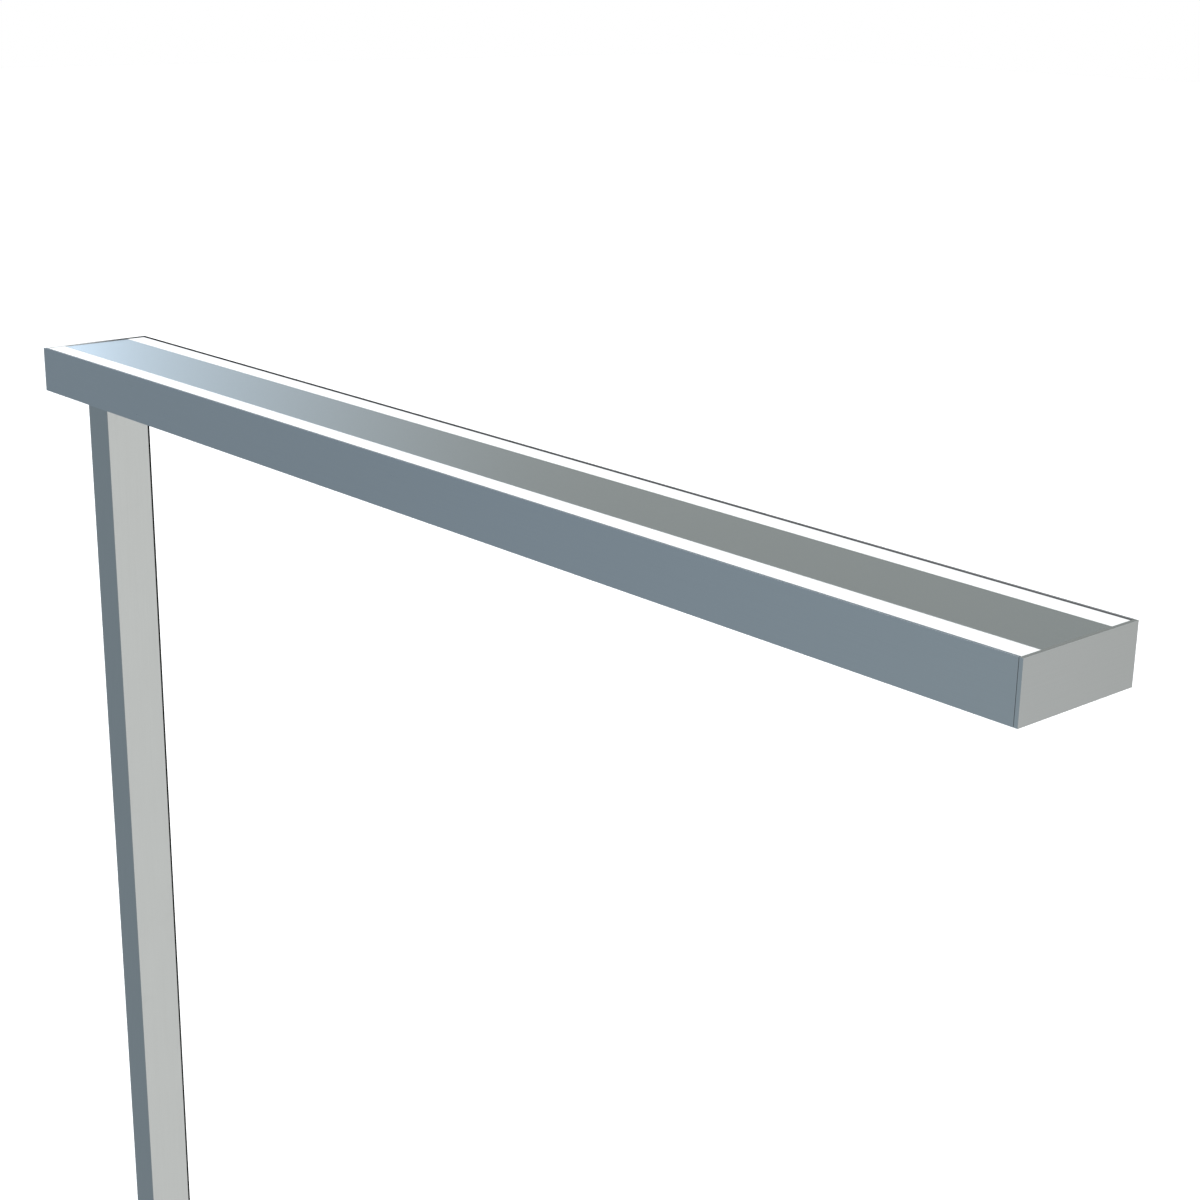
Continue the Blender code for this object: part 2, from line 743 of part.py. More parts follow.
def make_terminal_block():
    length, width, height = TERMINAL_SIZE
    seat = web_top + GAP
    mesh = boxes(
        "terminal_block",
        ((TERMINAL_X, -width / 2, seat), (TERMINAL_X + length, width / 2, seat + height)),
    )
    part = add_part("terminal_block", mesh, "driver")
    ways = 4
    pitch = length / ways
    wells = [
        ((TERMINAL_X + (i + 0.5) * pitch, y, seat + height - 3 * REACH), 3 * REACH + REACH, 1.8 * MM)
        for i in range(ways)
        for y in (-width / 4, width / 4)
    ]
    cut(part, rods("terminal_block_wells", "Z", *wells, steps=8))


def make_mount_plate():
    low = web_under - GAP - MOUNT_PLATE
    half_x = MOUNT_PLATE_LENGTH / 2
    half_y = MOUNT_PLATE_WIDTH / 2
    mesh = boxes("post_mount_plate", ((-half_x, -half_y, low), (half_x, half_y, low + MOUNT_PLATE)))
    part = add_part("post_mount_plate", mesh, "steel")
    through = MOUNT_PLATE + 2 * REACH
    holes = [((x, y, low - REACH), through, MOUNT_SCREW[2] + GAP) for x, y in square_of_screws()]
    holes.append(((0, 0, low - REACH), through, LEAD_HOLE_RADIUS))
    cut(part, rods("post_mount_plate_holes", "Z", *holes))


def make_cable_bush():
    outer = LEAD_HOLE_RADIUS - GAP
    inner = outer - BUSH_WALL
    flange_seat = web_top + GAP
    flange_top = flange_seat + BUSH_FLANGE_THICKNESS
    low = web_under - GAP - MOUNT_PLATE
    profile = [
        (inner, flange_top),
        (outer + BUSH_FLANGE, flange_top),
        (outer + BUSH_FLANGE, flange_seat),
        (outer, flange_seat),
        (outer, low),
        (inner, low),
    ]
    turned("cable_bush", profile, "rubber", closed=True, steps=24)


def make_mount_screws():
    for i, (x, y) in enumerate(square_of_screws()):
        screw(f"post_mount_screw_{i + 1}", (x, y, web_top + GAP), (0, 0, -1), MOUNT_SCREW)


def make_driver_screws():
    seat = web_top + GAP + DRIVER_EAR_THICKNESS + GAP
    for i, x in enumerate(driver_screw_places()):
        screw(f"driver_screw_{i + 1}", (x, 0, seat), (0, 0, -1), DRIVER_SCREW)


def head_block_screw_z():
    return post_top - BLOCK_HEIGHT + BLOCK_SCREW_RISE


def foot_block_screw_z():
    return post_bottom + BLOCK_HEIGHT - BLOCK_SCREW_RISE


def side_screw_faces(z):
    return [(-POST_WIDTH / 2, y, z) for y in (-BLOCK_SCREW_Y, BLOCK_SCREW_Y)]


def make_post_profile():
    half = POST_WIDTH / 2
    rear = cover_inner - GAP
    inner = half - POST_WALL
    side = [
        (half, post_front),
        (half, rear),
        (inner, rear),
        (inner, post_front + POST_WALL),
    ]
    mesh = extrusion("post_profile", "Z", post_bottom, post_top, side + mirrored(side))
    part = add_part("post_profile", mesh, "anodised")
    bezel_radius = BUTTON_RADIUS + GAP + BEZEL_WALL
    button_hole = rods(
        "post_profile_button_hole",
        "Y",
        ((0, post_front - REACH, BUTTON_HEIGHT), POST_WALL + 2 * REACH, bezel_radius + GAP),
        steps=ROUND_STEPS,
    )
    cut(part, button_hole)
    faces = side_screw_faces(head_block_screw_z()) + side_screw_faces(foot_block_screw_z())
    for cutter in countersinks("post_profile_screw_holes", "X", 1, faces, BLOCK_SCREW):
        cut(part, cutter)


def make_rear_cover():
    half = POST_WIDTH / 2
    leg_outer = half - POST_WALL - GAP
    leg_inner = leg_outer - COVER_LEG_WALL
    plate = boxes("post_rear_cover", ((-half, cover_inner, post_bottom), (half, post_rear, post_top)))
    part = add_part("post_rear_cover", plate, "black_plastic")
    leg_low = cover_inner - COVER_LEG
    leg_high = cover_inner + OVERLAP
    legs = boxes(
        "post_rear_cover_legs",
        ((leg_inner, leg_low, post_bottom), (leg_outer, leg_high, post_top)),
        ((-leg_outer, leg_low, post_bottom), (-leg_inner, leg_high, post_top)),
    )
    join(part, legs)
    half_x = INLET_BODY[0] / 2 + GAP
    half_z = INLET_BODY[2] / 2 + GAP
    cutout = boxes(
        "post_rear_cover_cutout",
        (
            (-half_x, cover_inner - REACH, INLET_HEIGHT - half_z),
            (half_x, post_rear + REACH, INLET_HEIGHT + half_z),
        ),
    )
    cut(part, cutout)


def make_block(name, low, screw_z, hole_start, with_lead_hole):
    """A block that fills one end of the post and takes its screws."""
    mesh = boxes(name, ((-block_half, block_front, low), (block_half, block_rear, low + BLOCK_HEIGHT)))
    part = add_part(name, mesh, "steel")
    depth = MOUNT_SCREW[3]
    holes = [((x, y, hole_start), depth, MOUNT_SCREW[2] + GAP) for x, y in square_of_screws()]
    cut(part, rods(name + "_end_holes", "Z", *holes))
    if with_lead_hole:
        lead_hole = ((0, 0, low - REACH), BLOCK_HEIGHT + 2 * REACH, LEAD_HOLE_RADIUS)
        cut(part, rods(name + "_lead_hole", "Z", lead_hole, steps=ROUND_STEPS))
    side_holes = [
        (face, BLOCK_SCREW[3] + GAP, BLOCK_SCREW[2] + GAP) for face in side_screw_faces(screw_z)
    ]
    cut(part, rods(name + "_side_holes", "X", *side_holes))


def make_blocks():
    head_low = post_top - BLOCK_HEIGHT
    head_hole = web_top + GAP - MOUNT_SCREW[3] - GAP
    make_block("post_head_block", head_low, head_block_screw_z(), head_hole, True)
    foot_hole = jaw_under + FOOT_SCREW[3] + GAP - MOUNT_SCREW[3]
    make_block("post_foot_block", post_bottom, foot_block_screw_z(), foot_hole, False)
    for i, face in enumerate(side_screw_faces(head_block_screw_z())):
        screw(f"head_block_screw_{i + 1}", face, (1, 0, 0), BLOCK_SCREW, countersunk=True)
    for i, face in enumerate(side_screw_faces(foot_block_screw_z())):
        screw(f"foot_block_screw_{i + 1}", face, (1, 0, 0), BLOCK_SCREW, countersunk=True)
    for i, (x, y) in enumerate(square_of_screws()):
        screw(f"foot_screw_{i + 1}", (x, y, jaw_under), (0, 0, 1), FOOT_SCREW, countersunk=True)


def button_place():
    """The button's axis: heights along it are counted outwards from the post's front face."""
    return Matrix.Translation((0, post_front, BUTTON_HEIGHT)) @ Matrix.Rotation(90 * DEG, 4, "X")


def make_dimmer_button():
    bore = BUTTON_RADIUS + GAP
    barrel = bore + BEZEL_WALL
    flange = barrel + BEZEL_FLANGE
    guide = BUTTON_STEM_RADIUS + GAP
    face = GAP + BEZEL_THICKNESS
    chamfer = 0.6 * MM
    bezel = [
        (bore, face),
        (flange - chamfer, face),
        (flange, face - chamfer),
        (flange, GAP),
        (barrel, GAP),
        (barrel, -BEZEL_DEPTH),
        (guide, -BEZEL_DEPTH),
        (guide, BEZEL_GUIDE - BEZEL_DEPTH),
        (bore, BEZEL_GUIDE - BEZEL_DEPTH),
    ]
    turned("button_bezel", bezel, "black_plastic", button_place(), closed=True)

    dome = 0.5 * MM
    button = [
        (0, BUTTON_PROUD),
        (BUTTON_RADIUS * 0.7, BUTTON_PROUD - dome / 2),
        (BUTTON_RADIUS - chamfer, BUTTON_PROUD - dome),
        (BUTTON_RADIUS, BUTTON_PROUD - dome - chamfer),
        (BUTTON_RADIUS, BUTTON_PROUD - BUTTON_CAP_DEPTH),
        (BUTTON_STEM_RADIUS, BUTTON_PROUD - BUTTON_CAP_DEPTH),
        (BUTTON_STEM_RADIUS, BUTTON_PROUD - BUTTON_LENGTH),
        (0, BUTTON_PROUD - BUTTON_LENGTH),
    ]
    turned("dimmer_button", button, "anodised", button_place())

    nut_top = -POST_WALL - GAP
    nut_bore = barrel + GAP
    ring = [
        (nut_bore * math.cos(i * 360 * DEG / ROUND_STEPS), nut_bore * math.sin(i * 360 * DEG / ROUND_STEPS))
        for i in range(ROUND_STEPS)
    ]
    nut = add_part(
        "bezel_nut",
        extrusion("bezel_nut", "Z", nut_top - NUT_THICKNESS, nut_top, hexagon(NUT_RADIUS), ring),
        "brass",
    )
    nut.matrix_world = button_place()

    switch_top = -BEZEL_DEPTH - GAP
    plunger_top = BUTTON_PROUD - BUTTON_LENGTH - BUTTON_TRAVEL - GAP
    cup_floor = switch_top - SWITCH_CUP_DEPTH
    switch_end = switch_top - SWITCH_LENGTH
    switch = turned(
        "switch_block",
        [
            (0, plunger_top),
            (SWITCH_PLUNGER_RADIUS, plunger_top),
            (SWITCH_PLUNGER_RADIUS, cup_floor),
            (SWITCH_CUP_RADIUS, cup_floor),
            (SWITCH_CUP_RADIUS, switch_top),
            (SWITCH_RADIUS, switch_top),
            (SWITCH_RADIUS, switch_end),
            (0, switch_end),
        ],
        "black_plastic",
        button_place(),
    )
    plug_half = SWITCH_RADIUS / 2
    plug = boxes(
        "switch_block_plug",
        ((-plug_half, -plug_half, switch_end - PLUG_WIDTH), (plug_half, plug_half, switch_end + OVERLAP)),
    )
    join(switch, plug)


def make_mains_inlet():
    def block(size, rear, rise=0, across=0):
        """A box of a size whose rear, or outer, face is at this Y."""
        x, depth, z = size
        return (
            (across - x / 2, rear - depth, INLET_HEIGHT + rise - z / 2),
            (across + x / 2, rear, INLET_HEIGHT + rise + z / 2),
        )

    face = post_rear + GAP + INLET_FLANGE[1]
    part = add_part("mains_inlet", boxes("mains_inlet", block(INLET_FLANGE, face)), "black_plastic")
    join(part, boxes("mains_inlet_body", block(INLET_BODY, face - INLET_FLANGE[1] + OVERLAP)))
    mouth_x, mouth_depth, mouth_z = INLET_MOUTH
    cut(part, boxes("mains_inlet_mouth", block((mouth_x, mouth_depth + REACH, mouth_z), face + REACH)))
    pin_x, pin_length, pin_z = PIN_SIZE
    pin_end = face - mouth_depth + pin_length
    pin = (pin_x, pin_length + OVERLAP, pin_z)
    pins = boxes(
        "mains_inlet_pins",
        block(pin, pin_end, PIN_RISE, -PIN_PITCH / 2),
        block(pin, pin_end, PIN_RISE, PIN_PITCH / 2),
        block(pin, pin_end, PIN_RISE - EARTH_DROP),
    )
    join(part, pins)


def make_clamp_bracket():
    outer_radius = BEND_RADIUS + JAW_THICKNESS
    jaw_low_top = -THROAT
    jaw_low_under = jaw_low_top - JAW_THICKNESS
    outline = rounded(
        [
            (UPPER_JAW_REACH, jaw_top, 0),
            (spine_outer, jaw_top, outer_radius),
            (spine_outer, jaw_low_under, outer_radius),
            (LOWER_JAW_REACH, jaw_low_under, 0),
            (LOWER_JAW_REACH, jaw_low_top, 0),
            (spine_inner, jaw_low_top, BEND_RADIUS),
            (spine_inner, jaw_under, BEND_RADIUS),
            (UPPER_JAW_REACH, jaw_under, 0),
        ],
        steps=BEND_STEPS,
    )
    mesh = extrusion("clamp_bracket", "Y", -JAW_WIDTH / 2, JAW_WIDTH / 2, outline)
    part = add_part("clamp_bracket", mesh, "painted_steel")
    nut_hole = rods(
        "clamp_bracket_nut_hole",
        "Z",
        ((SPINDLE_X, 0, jaw_low_under - REACH), JAW_THICKNESS + 2 * REACH, NUT_BODY_RADIUS + GAP),
        steps=ROUND_STEPS,
    )
    cut(part, nut_hole)
    faces = [(x, y, jaw_under) for x, y in square_of_screws()]
    for cutter in countersinks("clamp_bracket_screw_holes", "Z", 1, faces, FOOT_SCREW):
        cut(part, cutter)


def make_clamp_pads():
    margin = 2 * MM
    half = JAW_WIDTH / 2 - margin
    bend_end = spine_inner + BEND_RADIUS + margin
    seat = boxes("seat_pad", ((bend_end, -half, 0), (UPPER_JAW_REACH - margin, half, SEAT_PAD)))
    add_part("seat_pad", seat, "rubber")
    edge_low = (spine_inner + GAP, -half, EDGE_PAD_INSET - THROAT)
    edge_high = (spine_inner + GAP + EDGE_PAD, half, -EDGE_PAD_INSET)
    add_part("edge_pad", boxes("edge_pad", (edge_low, edge_high)), "rubber")


def spindle_place(height):
    return Matrix.Translation((SPINDLE_X, 0, height))


def make_clamp_nut():
    flange_under = -THROAT + GAP
    bore = SPINDLE_RADIUS + GAP
    profile = [
        (bore, flange_under + NUT_FLANGE),
        (NUT_FLANGE_RADIUS, flange_under + NUT_FLANGE),
        (NUT_FLANGE_RADIUS, flange_under),
        (NUT_BODY_RADIUS, flange_under),
        (NUT_BODY_RADIUS, flange_under - NUT_BODY),
        (bore, flange_under - NUT_BODY),
    ]
    turned("clamp_nut", profile, "steel", spindle_place(0), closed=True)


def ball_arc(radius, lowest_radius, steps=5):
    """Points (radius, height) down a ball from its top, round to the neck that it grows from."""
    last = math.pi - math.asin(lowest_radius / radius)
    angles = [last * i / steps for i in range(steps + 1)]
    return [(radius * math.sin(angle), radius * math.cos(angle)) for angle in angles]


def make_pressure_pad():
    socket = ball_arc(BALL_RADIUS + GAP, NECK_RADIUS + 2 * GAP)
    profile = [
        (0, 0),
        (PAD_RADIUS, 0),
        (PAD_RADIUS, -PAD_RIM),
        (PAD_BOSS_RADIUS, -PAD_RIM - PAD_CONE),
        (PAD_BOSS_RADIUS, -PAD_DEPTH),
        (NECK_RADIUS + 2 * GAP, -PAD_DEPTH),
        *reversed([(radius, height - PAD_SOCKET_DEPTH) for radius, height in socket]),
    ]
    turned("pressure_pad", profile, "steel", spindle_place(pad_top))
    liner_radius = PAD_RADIUS - PAD_LINER_INSET
    liner = [(0, PAD_LINER), (liner_radius, PAD_LINER), (liner_radius, 0), (0, 0)]
    turned("pressure_pad_liner", liner, "rubber", spindle_place(pad_top + GAP))


def make_clamp_spindle():
    ball_height = pad_top - PAD_SOCKET_DEPTH
    shoulder = pad_top - PAD_DEPTH - SPINDLE_NECK
    chamfer = 1 * MM
    profile = [
        *((radius, height + ball_height) for radius, height in ball_arc(BALL_RADIUS, NECK_RADIUS)),
        (NECK_RADIUS, shoulder),
        (SPINDLE_RADIUS - chamfer, shoulder),
        (SPINDLE_RADIUS, shoulder - chamfer),
        (SPINDLE_RADIUS, knob_top + GAP),
        (STUB_RADIUS, knob_top + GAP),
        (STUB_RADIUS, knob_top - STUB_LENGTH),
        (0, knob_top - STUB_LENGTH),
    ]
    spindle = turned("clamp_spindle", profile, "steel", spindle_place(0))
    cut(spindle, rods("clamp_spindle_pin_hole", "X", pin_hole(), steps=12))


def pin_hole():
    """The cross hole through the knob's hub and the spindle's stub, in the spindle's own frame."""
    reach = HUB_RADIUS + REACH
    return (-reach, 0, knob_top - HUB_HEIGHT / 2), 2 * reach, PIN_RADIUS + GAP


def make_clamp_knob():
    count = KNOB_LOBES * KNOB_POINTS_PER_LOBE
    outline = []
    for i in range(count):
        angle = 360 * DEG * i / count
        radius = KNOB_RADIUS + KNOB_LOBE * math.cos(KNOB_LOBES * angle)
        outline.append((radius * math.cos(angle), radius * math.sin(angle)))
    grip_top = knob_top - HUB_HEIGHT
    grip = extrusion("clamp_knob", "Z", grip_top - KNOB_HEIGHT, grip_top, outline)
    knob = add_part("clamp_knob", grip, "black_plastic")
    knob.location = (SPINDLE_X, 0, 0)
    bevel = knob.modifiers.new("soft_edges", "BEVEL")
    bevel.width = KNOB_BEVEL
    bevel.segments = 2
    bevel.limit_method = "ANGLE"
    bevel.angle_limit = 60 * DEG
    bpy.context.view_layer.update()
    hub = rods(
        "clamp_knob_hub",
        "Z",
        ((0, 0, grip_top - REACH), HUB_HEIGHT + REACH, HUB_RADIUS),
        steps=ROUND_STEPS,
    )
    join(knob, hub)
    bore_low = knob_top - STUB_LENGTH - GAP
    bore = rods("clamp_knob_bore", "Z", ((0, 0, bore_low), knob_top + REACH - bore_low, STUB_RADIUS + GAP))
    cut(knob, bore)
    cut(knob, rods("clamp_knob_pin_hole", "X", pin_hole(), steps=12))
    pin_half = HUB_RADIUS - GAP
    start = (-pin_half, 0, knob_top - HUB_HEIGHT / 2)
    pin = add_part("knob_pin", rods("knob_pin", "X", (start, 2 * pin_half, PIN_RADIUS), steps=12), "steel")
    pin.location = (SPINDLE_X, 0, 0)


def make_leads():
    """The leads inside the bar and the post. Each route is a list of places in millimetres."""
    web = web_top / MM
    top = post_top / MM
    inlet_rear = (post_rear + GAP + OVERLAP - INLET_BODY[1]) / MM
    inlet = INLET_HEIGHT / MM
    button = BUTTON_HEIGHT / MM
    gap = GAP / MM
    terminal_left = TERMINAL_X / MM - gap
    terminal_right = (TERMINAL_X + TERMINAL_SIZE[0]) / MM + gap
    supply = [
        (0, inlet_rear - gap, inlet),
        (0, inlet_rear - 6, inlet + 0.5),
        (0, inlet_rear - 13, inlet + 5),
        (0, inlet_rear - 15, inlet + 15),
        (-1, inlet_rear - 12, inlet + 27),
        (-5, inlet_rear, inlet + 45),
        (-9, inlet_rear + 7, inlet + 68),
        (-9.5, inlet_rear + 8.5, inlet + 95),
        (-9.5, inlet_rear + 8.5, top - 110),
        (-8, 8, top - 72),
        (-4, 1, top - 42),
        (-2.9, 0, top - 30),
        (-2.9, 0, web - 6),
        (-2.6, 0, web + 4),
        (1, -0.5, web + 10),
        (9, -1, web + 11.5),
        (22, -2, web + 11),
        (36, -3.5, web + 7.5),
        (terminal_left, -4, web + 6),
    ]
    lead("supply_lead", SUPPLY_LEAD, supply, "grey_lead")

    switch_rear = (post_front + BEZEL_DEPTH + GAP + SWITCH_LENGTH + PLUG_WIDTH) / MM
    dimmer = [
        (0, switch_rear + gap, button),
        (0.3, switch_rear + 3, button + 0.8),
        (1.5, switch_rear + 4.8, button + 5),
        (4, switch_rear + 4.8, button + 13),
        (6, switch_rear + 4.8, button + 40),
        (6, switch_rear + 4.8, top - 110),
        (5.5, 8, top - 72),
        (4, 1, top - 42),
        (3.2, 0, top - 30),
        (3.2, 0, web - 6),
        (3.4, 0.2, web + 3),
        (6, 1, web + 7.5),
        (14, 2, web + 8),
        (30, 4, web + 6.5),
        (terminal_left, 5, web + 6),
    ]
    lead("dimmer_lead", DIMMER_LEAD, dimmer, "white_lead")

    up_face = (UPLIGHT_DRIVER_X + DRIVER_EAR) / MM - gap
    entry = web + DRIVER_LEAD_HEIGHT / MM
    feed_up = [
        (terminal_right, 5, web + 7),
        (terminal_right + 12, 5.5, web + 8),
        (up_face - 14, 8, entry),
        (up_face, 8, entry),
    ]
    lead("uplight_feed_lead", DRIVER_LEAD, feed_up, "grey_lead")

    down_face = (DOWNLIGHT_DRIVER_X + DRIVER_EAR) / MM - gap
    lane = -(DRIVER_WIDTH / 2 + 7 * MM) / MM
    feed_down = [
        (terminal_right, -5, web + 7),
        (terminal_right + 10, -6, web + 8.5),
        (terminal_right + 26, lane + 4, web + 12),
        (up_face, lane, web + 13),
        (up_face + DRIVER_LENGTH / MM, lane, web + 13),
        (down_face - 26, lane + 3, web + 13),
        (down_face - 10, -9, web + 11),
        (down_face, -8, entry),
    ]
    lead("downlight_feed_lead", DRIVER_LEAD, feed_down, "grey_lead")

    up_out = (UPLIGHT_DRIVER_X + DRIVER_LENGTH - DRIVER_EAR) / MM + gap
    up_hole = uplight_hole_x() / MM
    up_z = uplight_lead_z() / MM
    up_plug = (uplight_board_span()[0] + REACH) / MM - gap
    down_out = (DOWNLIGHT_DRIVER_X + DRIVER_LENGTH - DRIVER_EAR) / MM + gap
    down_x, down_y = (value / MM for value in downlight_hole(1))
    down_z = (web_under - GAP - BOARD_THICKNESS - PLUG_HEIGHT / 2) / MM
    down_plug = (downlight_board_span()[0] + OVERLAP) / MM - gap
    partition = partition_inner / MM
    for side, name in ((-1, "front"), (1, "rear")):
        up = [
            (up_out, side * 8, entry),
            (up_out + 10, side * 9, entry - 0.5),
            (up_hole - 8, side * 15, entry - 3),
            (up_hole - 1, side * (partition - 8), up_z + 0.4),
            (up_hole, side * (partition - 1), up_z),
            (up_hole, side * up_plug, up_z),
        ]
        lead(f"uplight_lead_{name}", BOARD_LEAD, up, "white_lead")
        down = [
            (down_out, side * 8, entry),
            (down_out + 13, side * 8.5, entry - 0.5),
            (down_x - 5, side * (down_y - 0.5), web + 6),
            (down_x, side * down_y, web + 1),
            (down_x, side * down_y, web - 2.5),
            (down_x, side * (down_y + 1.6), down_z + 1),
            (down_x, side * (down_y + 4), down_z),
            (down_x, side * down_plug, down_z),
        ]
        lead(f"downlight_lead_{name}", BOARD_LEAD, down, "white_lead")


materials = {name: new_material(name, *finish) for name, finish in FINISHES.items()}

make_head_profile()
make_end_cap("end_cap_left", head_left, 1)
make_end_cap("end_cap_right", head_right, -1)
make_top_panel()
for side, place in ((-1, "front"), (1, "rear")):
    make_uplight_diffuser(f"uplight_diffuser_{place}", side)
    make_uplight_board(f"uplight_board_{place}", side)
    make_downlight_board(f"downlight_board_{place}", side)
make_downlight_diffuser()
make_underside_plate()
make_driver("uplight_driver", UPLIGHT_DRIVER_X)
make_driver("downlight_driver", DOWNLIGHT_DRIVER_X)
make_driver_screws()
make_terminal_block()
make_mount_plate()
make_mount_screws()
make_cable_bush()
make_post_profile()
make_rear_cover()
make_blocks()
make_dimmer_button()
make_mains_inlet()
make_clamp_bracket()
make_clamp_pads()
make_clamp_nut()
make_pressure_pad()
make_clamp_spindle()
make_clamp_knob()
make_leads()
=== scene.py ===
import json
import math

import bmesh
import bpy
from mathutils import Euler, Matrix, Vector

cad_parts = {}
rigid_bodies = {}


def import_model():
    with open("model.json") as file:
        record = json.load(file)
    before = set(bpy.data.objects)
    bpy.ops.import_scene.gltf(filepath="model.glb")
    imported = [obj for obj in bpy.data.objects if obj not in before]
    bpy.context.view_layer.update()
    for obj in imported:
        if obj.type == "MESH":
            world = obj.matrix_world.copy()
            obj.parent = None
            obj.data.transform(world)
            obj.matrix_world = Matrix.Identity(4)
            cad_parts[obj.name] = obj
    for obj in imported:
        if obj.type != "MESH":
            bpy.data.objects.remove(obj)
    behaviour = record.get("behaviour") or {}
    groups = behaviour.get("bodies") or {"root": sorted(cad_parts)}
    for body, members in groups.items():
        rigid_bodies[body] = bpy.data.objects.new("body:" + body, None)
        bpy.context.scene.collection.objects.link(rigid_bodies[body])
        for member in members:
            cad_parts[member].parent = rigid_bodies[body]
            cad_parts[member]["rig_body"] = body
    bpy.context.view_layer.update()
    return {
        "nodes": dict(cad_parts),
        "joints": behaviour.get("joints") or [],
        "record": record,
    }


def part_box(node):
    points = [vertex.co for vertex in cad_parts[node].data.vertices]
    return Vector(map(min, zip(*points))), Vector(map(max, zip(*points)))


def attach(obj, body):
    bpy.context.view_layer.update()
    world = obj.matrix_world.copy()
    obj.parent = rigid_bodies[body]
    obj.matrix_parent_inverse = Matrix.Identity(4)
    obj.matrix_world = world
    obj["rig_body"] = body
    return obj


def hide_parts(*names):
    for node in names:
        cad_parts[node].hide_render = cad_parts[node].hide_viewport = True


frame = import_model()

MM = 0.001
DEG = math.pi / 180
nodes = frame["nodes"]
slots = {part["node"]: part["material_slot"] for part in frame["record"]["subparts"]}

# ---------------------------------------------------------------------------------------------
# Camera, surroundings and floor
# ---------------------------------------------------------------------------------------------

CAMERA_FROM_BAR_END = Vector((0.6468, -0.9489, 0.3695))  # from the top edge of the bar's free end
CAMERA_HEADING = 48.485 * DEG
CAMERA_PITCH = -17.491 * DEG
CAMERA_ROLL = 0.948 * DEG
CAMERA_LENS = 60.38
CAMERA_SENSOR = 36
FLOOR_TONES = ((0.93, 0.93, 0.93), (0.95, 0.95, 0.95))
FLOOR_ROUGHNESS = 0.9
FLOOR_CLEARANCE = 0.03  # under the knob when it is wound right down
FLOOR_HALF_SIZE = 30.0


def make_camera():
    """The camera stands in front of the bar's free end and above it, and looks back along the bar."""
    data = bpy.data.cameras.new("camera")
    data.sensor_width = CAMERA_SENSOR
    data.lens = CAMERA_LENS
    camera = bpy.data.objects.new("camera", data)
    bar_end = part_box("end_cap_right")[1]
    place = Matrix.Translation(Vector((bar_end.x, 0, bar_end.z)) + CAMERA_FROM_BAR_END)
    aim = Euler((90 * DEG + CAMERA_PITCH, 0, CAMERA_HEADING)).to_matrix().to_4x4()
    camera.matrix_world = place @ aim @ Matrix.Rotation(CAMERA_ROLL, 4, "Z")
    bpy.context.scene.collection.objects.link(camera)
    bpy.context.scene.camera = camera


def feed(tree, socket, value):
    """Sets an input to a value, or links it to the output that it follows."""
    if isinstance(value, bpy.types.NodeSocket):
        tree.links.new(value, socket)
    elif socket.type == "RGBA":
        socket.default_value = (*value[:3], 1)
    else:
        socket.default_value = value


def feed_named(tree, item, **inputs):
    """Feeds a node's inputs by their names, with _ for a space."""
    for name, value in inputs.items():
        feed(tree, item.inputs[name.replace("_", " ")], value)


def add_node(tree, kind, settings=None, **inputs):
    """A new shader node with its settings made and its inputs fed."""
    item = tree.nodes.new(kind)
    for key, value in (settings or {}).items():
        setattr(item, key, value)
    feed_named(tree, item, **inputs)
    return item


def calculate(tree, operation, *values):
    """A number worked out from one to three numbers or sockets."""
    item = add_node(tree, "ShaderNodeMath", {"operation": operation})
    for socket, value in zip(item.inputs, values):
        feed(tree, socket, value)
    return item.outputs[0]


def vector_math(tree, operation, *values, result="Vector"):
    item = add_node(tree, "ShaderNodeVectorMath", {"operation": operation})
    for socket, value in zip(item.inputs, values):
        feed(tree, socket, value)
    return item.outputs[result]


def rescale(tree, value, low, high, to_low=0.0, to_high=1.0, smooth=False):
    """A number carried from the range low to high into another, and held at its ends."""
    kind = "SMOOTHSTEP" if smooth else "LINEAR"
    item = add_node(
        tree,
        "ShaderNodeMapRange",
        {"interpolation_type": kind, "clamp": True},
        Value=value,
        From_Min=low,
        From_Max=high,
        To_Min=to_low,
        To_Max=to_high,
    )
    return item.outputs["Result"]


def blend_colours(tree, factor, first, second, way="MIX"):
    item = add_node(tree, "ShaderNodeMix", {"data_type": "RGBA", "blend_type": way})
    colour_inputs = [socket for socket in item.inputs if socket.type == "RGBA"]
    for socket, value in zip([item.inputs[0], *colour_inputs], (factor, first, second)):
        feed(tree, socket, value)
    return next(socket for socket in item.outputs if socket.type == "RGBA")


# The light that comes from each side of the room, by the cosine of the angle from LIGHT_SIDE
LIGHT_SIDE = 25 * DEG
ROOM_COLOURS = (
    (-1.0, (0.265, 0.315, 0.353)),
    (-0.98, (0.315, 0.372, 0.435)),
    (-0.88, (0.39, 0.45, 0.49)),
    (-0.4, (0.40, 0.43, 0.42)),
    (0.0, (0.40, 0.43, 0.42)),
    (0.7, (0.58, 0.58, 0.565)),
    (0.86, (0.60, 0.575, 0.53)),
    (0.93, (0.78, 0.76, 0.73)),
    (1.0, (1.12, 1.10, 1.09)),
)
CEILING_LIGHT = (2.2, 2.2, 2.2)
CEILING_FROM = 35 * DEG
CEILING_FULL = 52 * DEG
WINDOW_LIGHT = (0.94, 1.20, 1.50)
WINDOW_HEADING = 174 * DEG
WINDOW_EDGES = (0.82, 0.95)  # cosines of the level angle from its middle, where it starts and is full
WINDOW_FALLS = ((0.50, 2.0), (1.35, 14.0))  # a wide soft part and a narrow one: share and power
WINDOW_SILL = (-8 * DEG, 4 * DEG)
WINDOW_HEAD = (24 * DEG, 40 * DEG)


def cosine_from(tree, level, heading):
    """The cosine of the level angle from a heading."""
    middle = (math.cos(heading), math.sin(heading), 0)
    return vector_math(tree, "DOT_PRODUCT", level, middle, result="Value")


